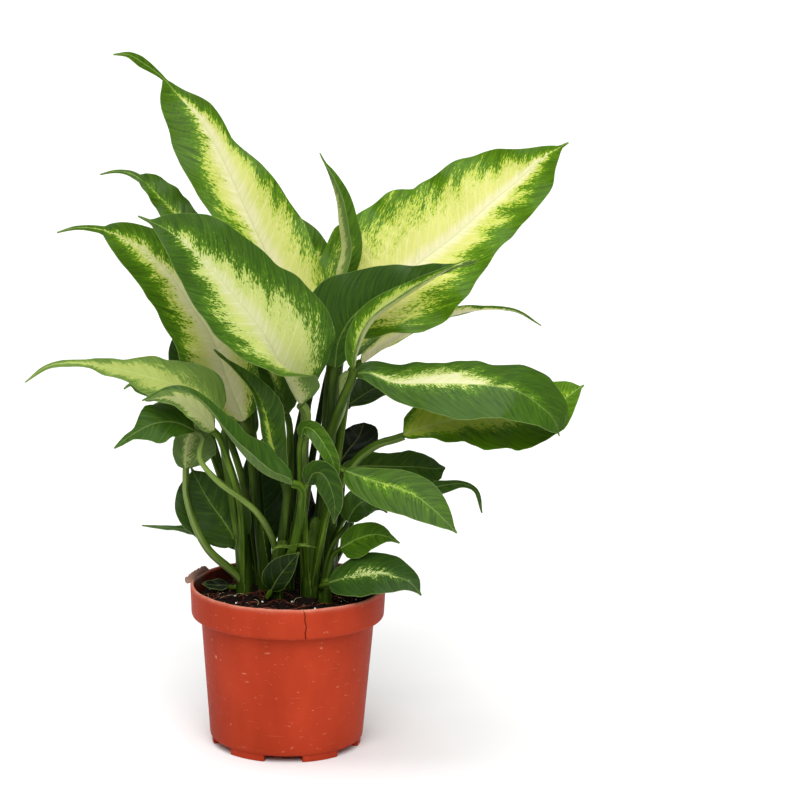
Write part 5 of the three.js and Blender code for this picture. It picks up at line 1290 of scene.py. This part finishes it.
class PLANT_OT_pot(bpy.types.Operator):
    """Builds the moulded nursery pot"""
    bl_idname = "plant.pot"
    bl_label = "Nursery Pot"

    def execute(self, context):
        settings = context.scene.plant.pot
        vertices, faces, tint = pot_piece()
        flap, flap_faces = torn_flap()
        faces = faces + [tuple(len(vertices) + v for v in face) for face in flap_faces]
        vertices = np.vstack([vertices, flap])
        tint = np.vstack([tint, np.tile((1.0, 0.0, 0.0), (len(flap), 1))])
        shell = build_mesh("pot_shell", vertices, faces, [pot_material(settings)], {"tint": tint},
                           smooth_angle=40)
        drill_floor(shell, vertices, tint)
        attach(shell, "root")
        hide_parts("pot")
        return {"FINISHED"}


class PLANT_OT_soil(bpy.types.Operator):
    """Builds the root ball, with loose crumbs, white perlite and fibres"""
    bl_idname = "plant.soil"
    bl_label = "Potting Soil"

    def execute(self, context):
        soil_piece(soil_material())
        peat = plain_material("Peat crumbs, dark", "#090403", "#23130B", 0.9, 500)
        bark = plain_material("Bark chips, brown", "#24150D", "#4A301F", 0.8, 300)
        perlite = plain_material("Perlite, puffed white", "#CFC8BC", "#EFECE6", 0.85, 400)
        coir = plain_material("Coir fibre, red brown", "#4A2014", "#7A3C28", 0.7, 250)
        root = plain_material("Fine roots, straw", "#8C7A58", "#C2B48E", 0.7, 250)
        crumb_piece("soil_crumbs", 1100, (0.5, 1.5), 21, peat, 0.35)
        crumb_piece("soil_bark", 60, (0.8, 2.2), 22, bark, 0.3)
        crumb_piece("soil_perlite", 34, (0.4, 1.1), 23, perlite, 0.45)
        fibre_piece("soil_coir", 110, 24, coir, 0.2, (5, 16))
        fibre_piece("soil_roots", 30, 25, root, 0.14, (5, 16))
        return {"FINISHED"}


class PLANT_OT_stalks(bpy.types.Operator):
    """Builds each shoot's cane and the stalks that clasp it"""
    bl_idname = "plant.stalks"
    bl_label = "Shoots and Stalks"

    def execute(self, context):
        material = stalk_material()
        for name in SHOOTS:
            shoot_piece(name, material)
        return {"FINISHED"}


class PLANT_OT_blades(bpy.types.Operator):
    """Builds every blade with its midrib, veins and pattern"""
    bl_idname = "plant.blades"
    bl_label = "Leaf Blades"

    def execute(self, context):
        upper = blade_material("Dieffenbachia blade, waxy upper skin", UPPER_SKIN, rib_strength=0.5,
                               roughness=0.36, relief=0.25, specular=0.15)
        under = blade_material("Dieffenbachia blade, paler under skin", UNDER_SKIN, rib_strength=0.85,
                               roughness=0.5, relief=0.35, specular=0.12)
        thickness = context.scene.plant.foliage.thickness / MM
        for leaf in LEAVES:
            blade_piece(leaf, [upper, under], thickness)
        return {"FINISHED"}


class PLANT_PT_panel(bpy.types.Panel):
    bl_idname = "PLANT_PT_panel"
    bl_label = "Potted Dieffenbachia"
    bl_space_type = "VIEW_3D"
    bl_region_type = "UI"
    bl_category = "Plant"

    def draw(self, context):
        settings = context.scene.plant
        for group, operator in (("stage", "plant.stage"), ("pot", "plant.pot"), (None, "plant.soil"),
                                ("foliage", "plant.stalks"), (None, "plant.blades")):
            box = self.layout.box()
            if group:
                values = getattr(settings, group)
                for key in values.__annotations__:
                    box.prop(values, key)
            box.operator(operator)


CLASSES = (PotSettings, FoliageSettings, StageSettings, PlantSettings, PLANT_OT_stage, PLANT_OT_pot,
           PLANT_OT_soil, PLANT_OT_stalks, PLANT_OT_blades, PLANT_PT_panel)


def register():
    """Adds the classes and the settings that the panel shows."""
    for each in CLASSES:
        bpy.utils.register_class(each)
    bpy.types.Scene.plant = PointerProperty(type=PlantSettings)


def unregister():
    """Takes the settings and the classes away again."""
    del bpy.types.Scene.plant
    for each in reversed(CLASSES):
        bpy.utils.unregister_class(each)


def main():
    """Builds the plant on its stage."""
    register()
    bpy.ops.plant.stage()
    bpy.ops.plant.pot()
    bpy.ops.plant.soil()
    bpy.ops.plant.stalks()
    bpy.ops.plant.blades()


if __name__ == "__main__":
    main()
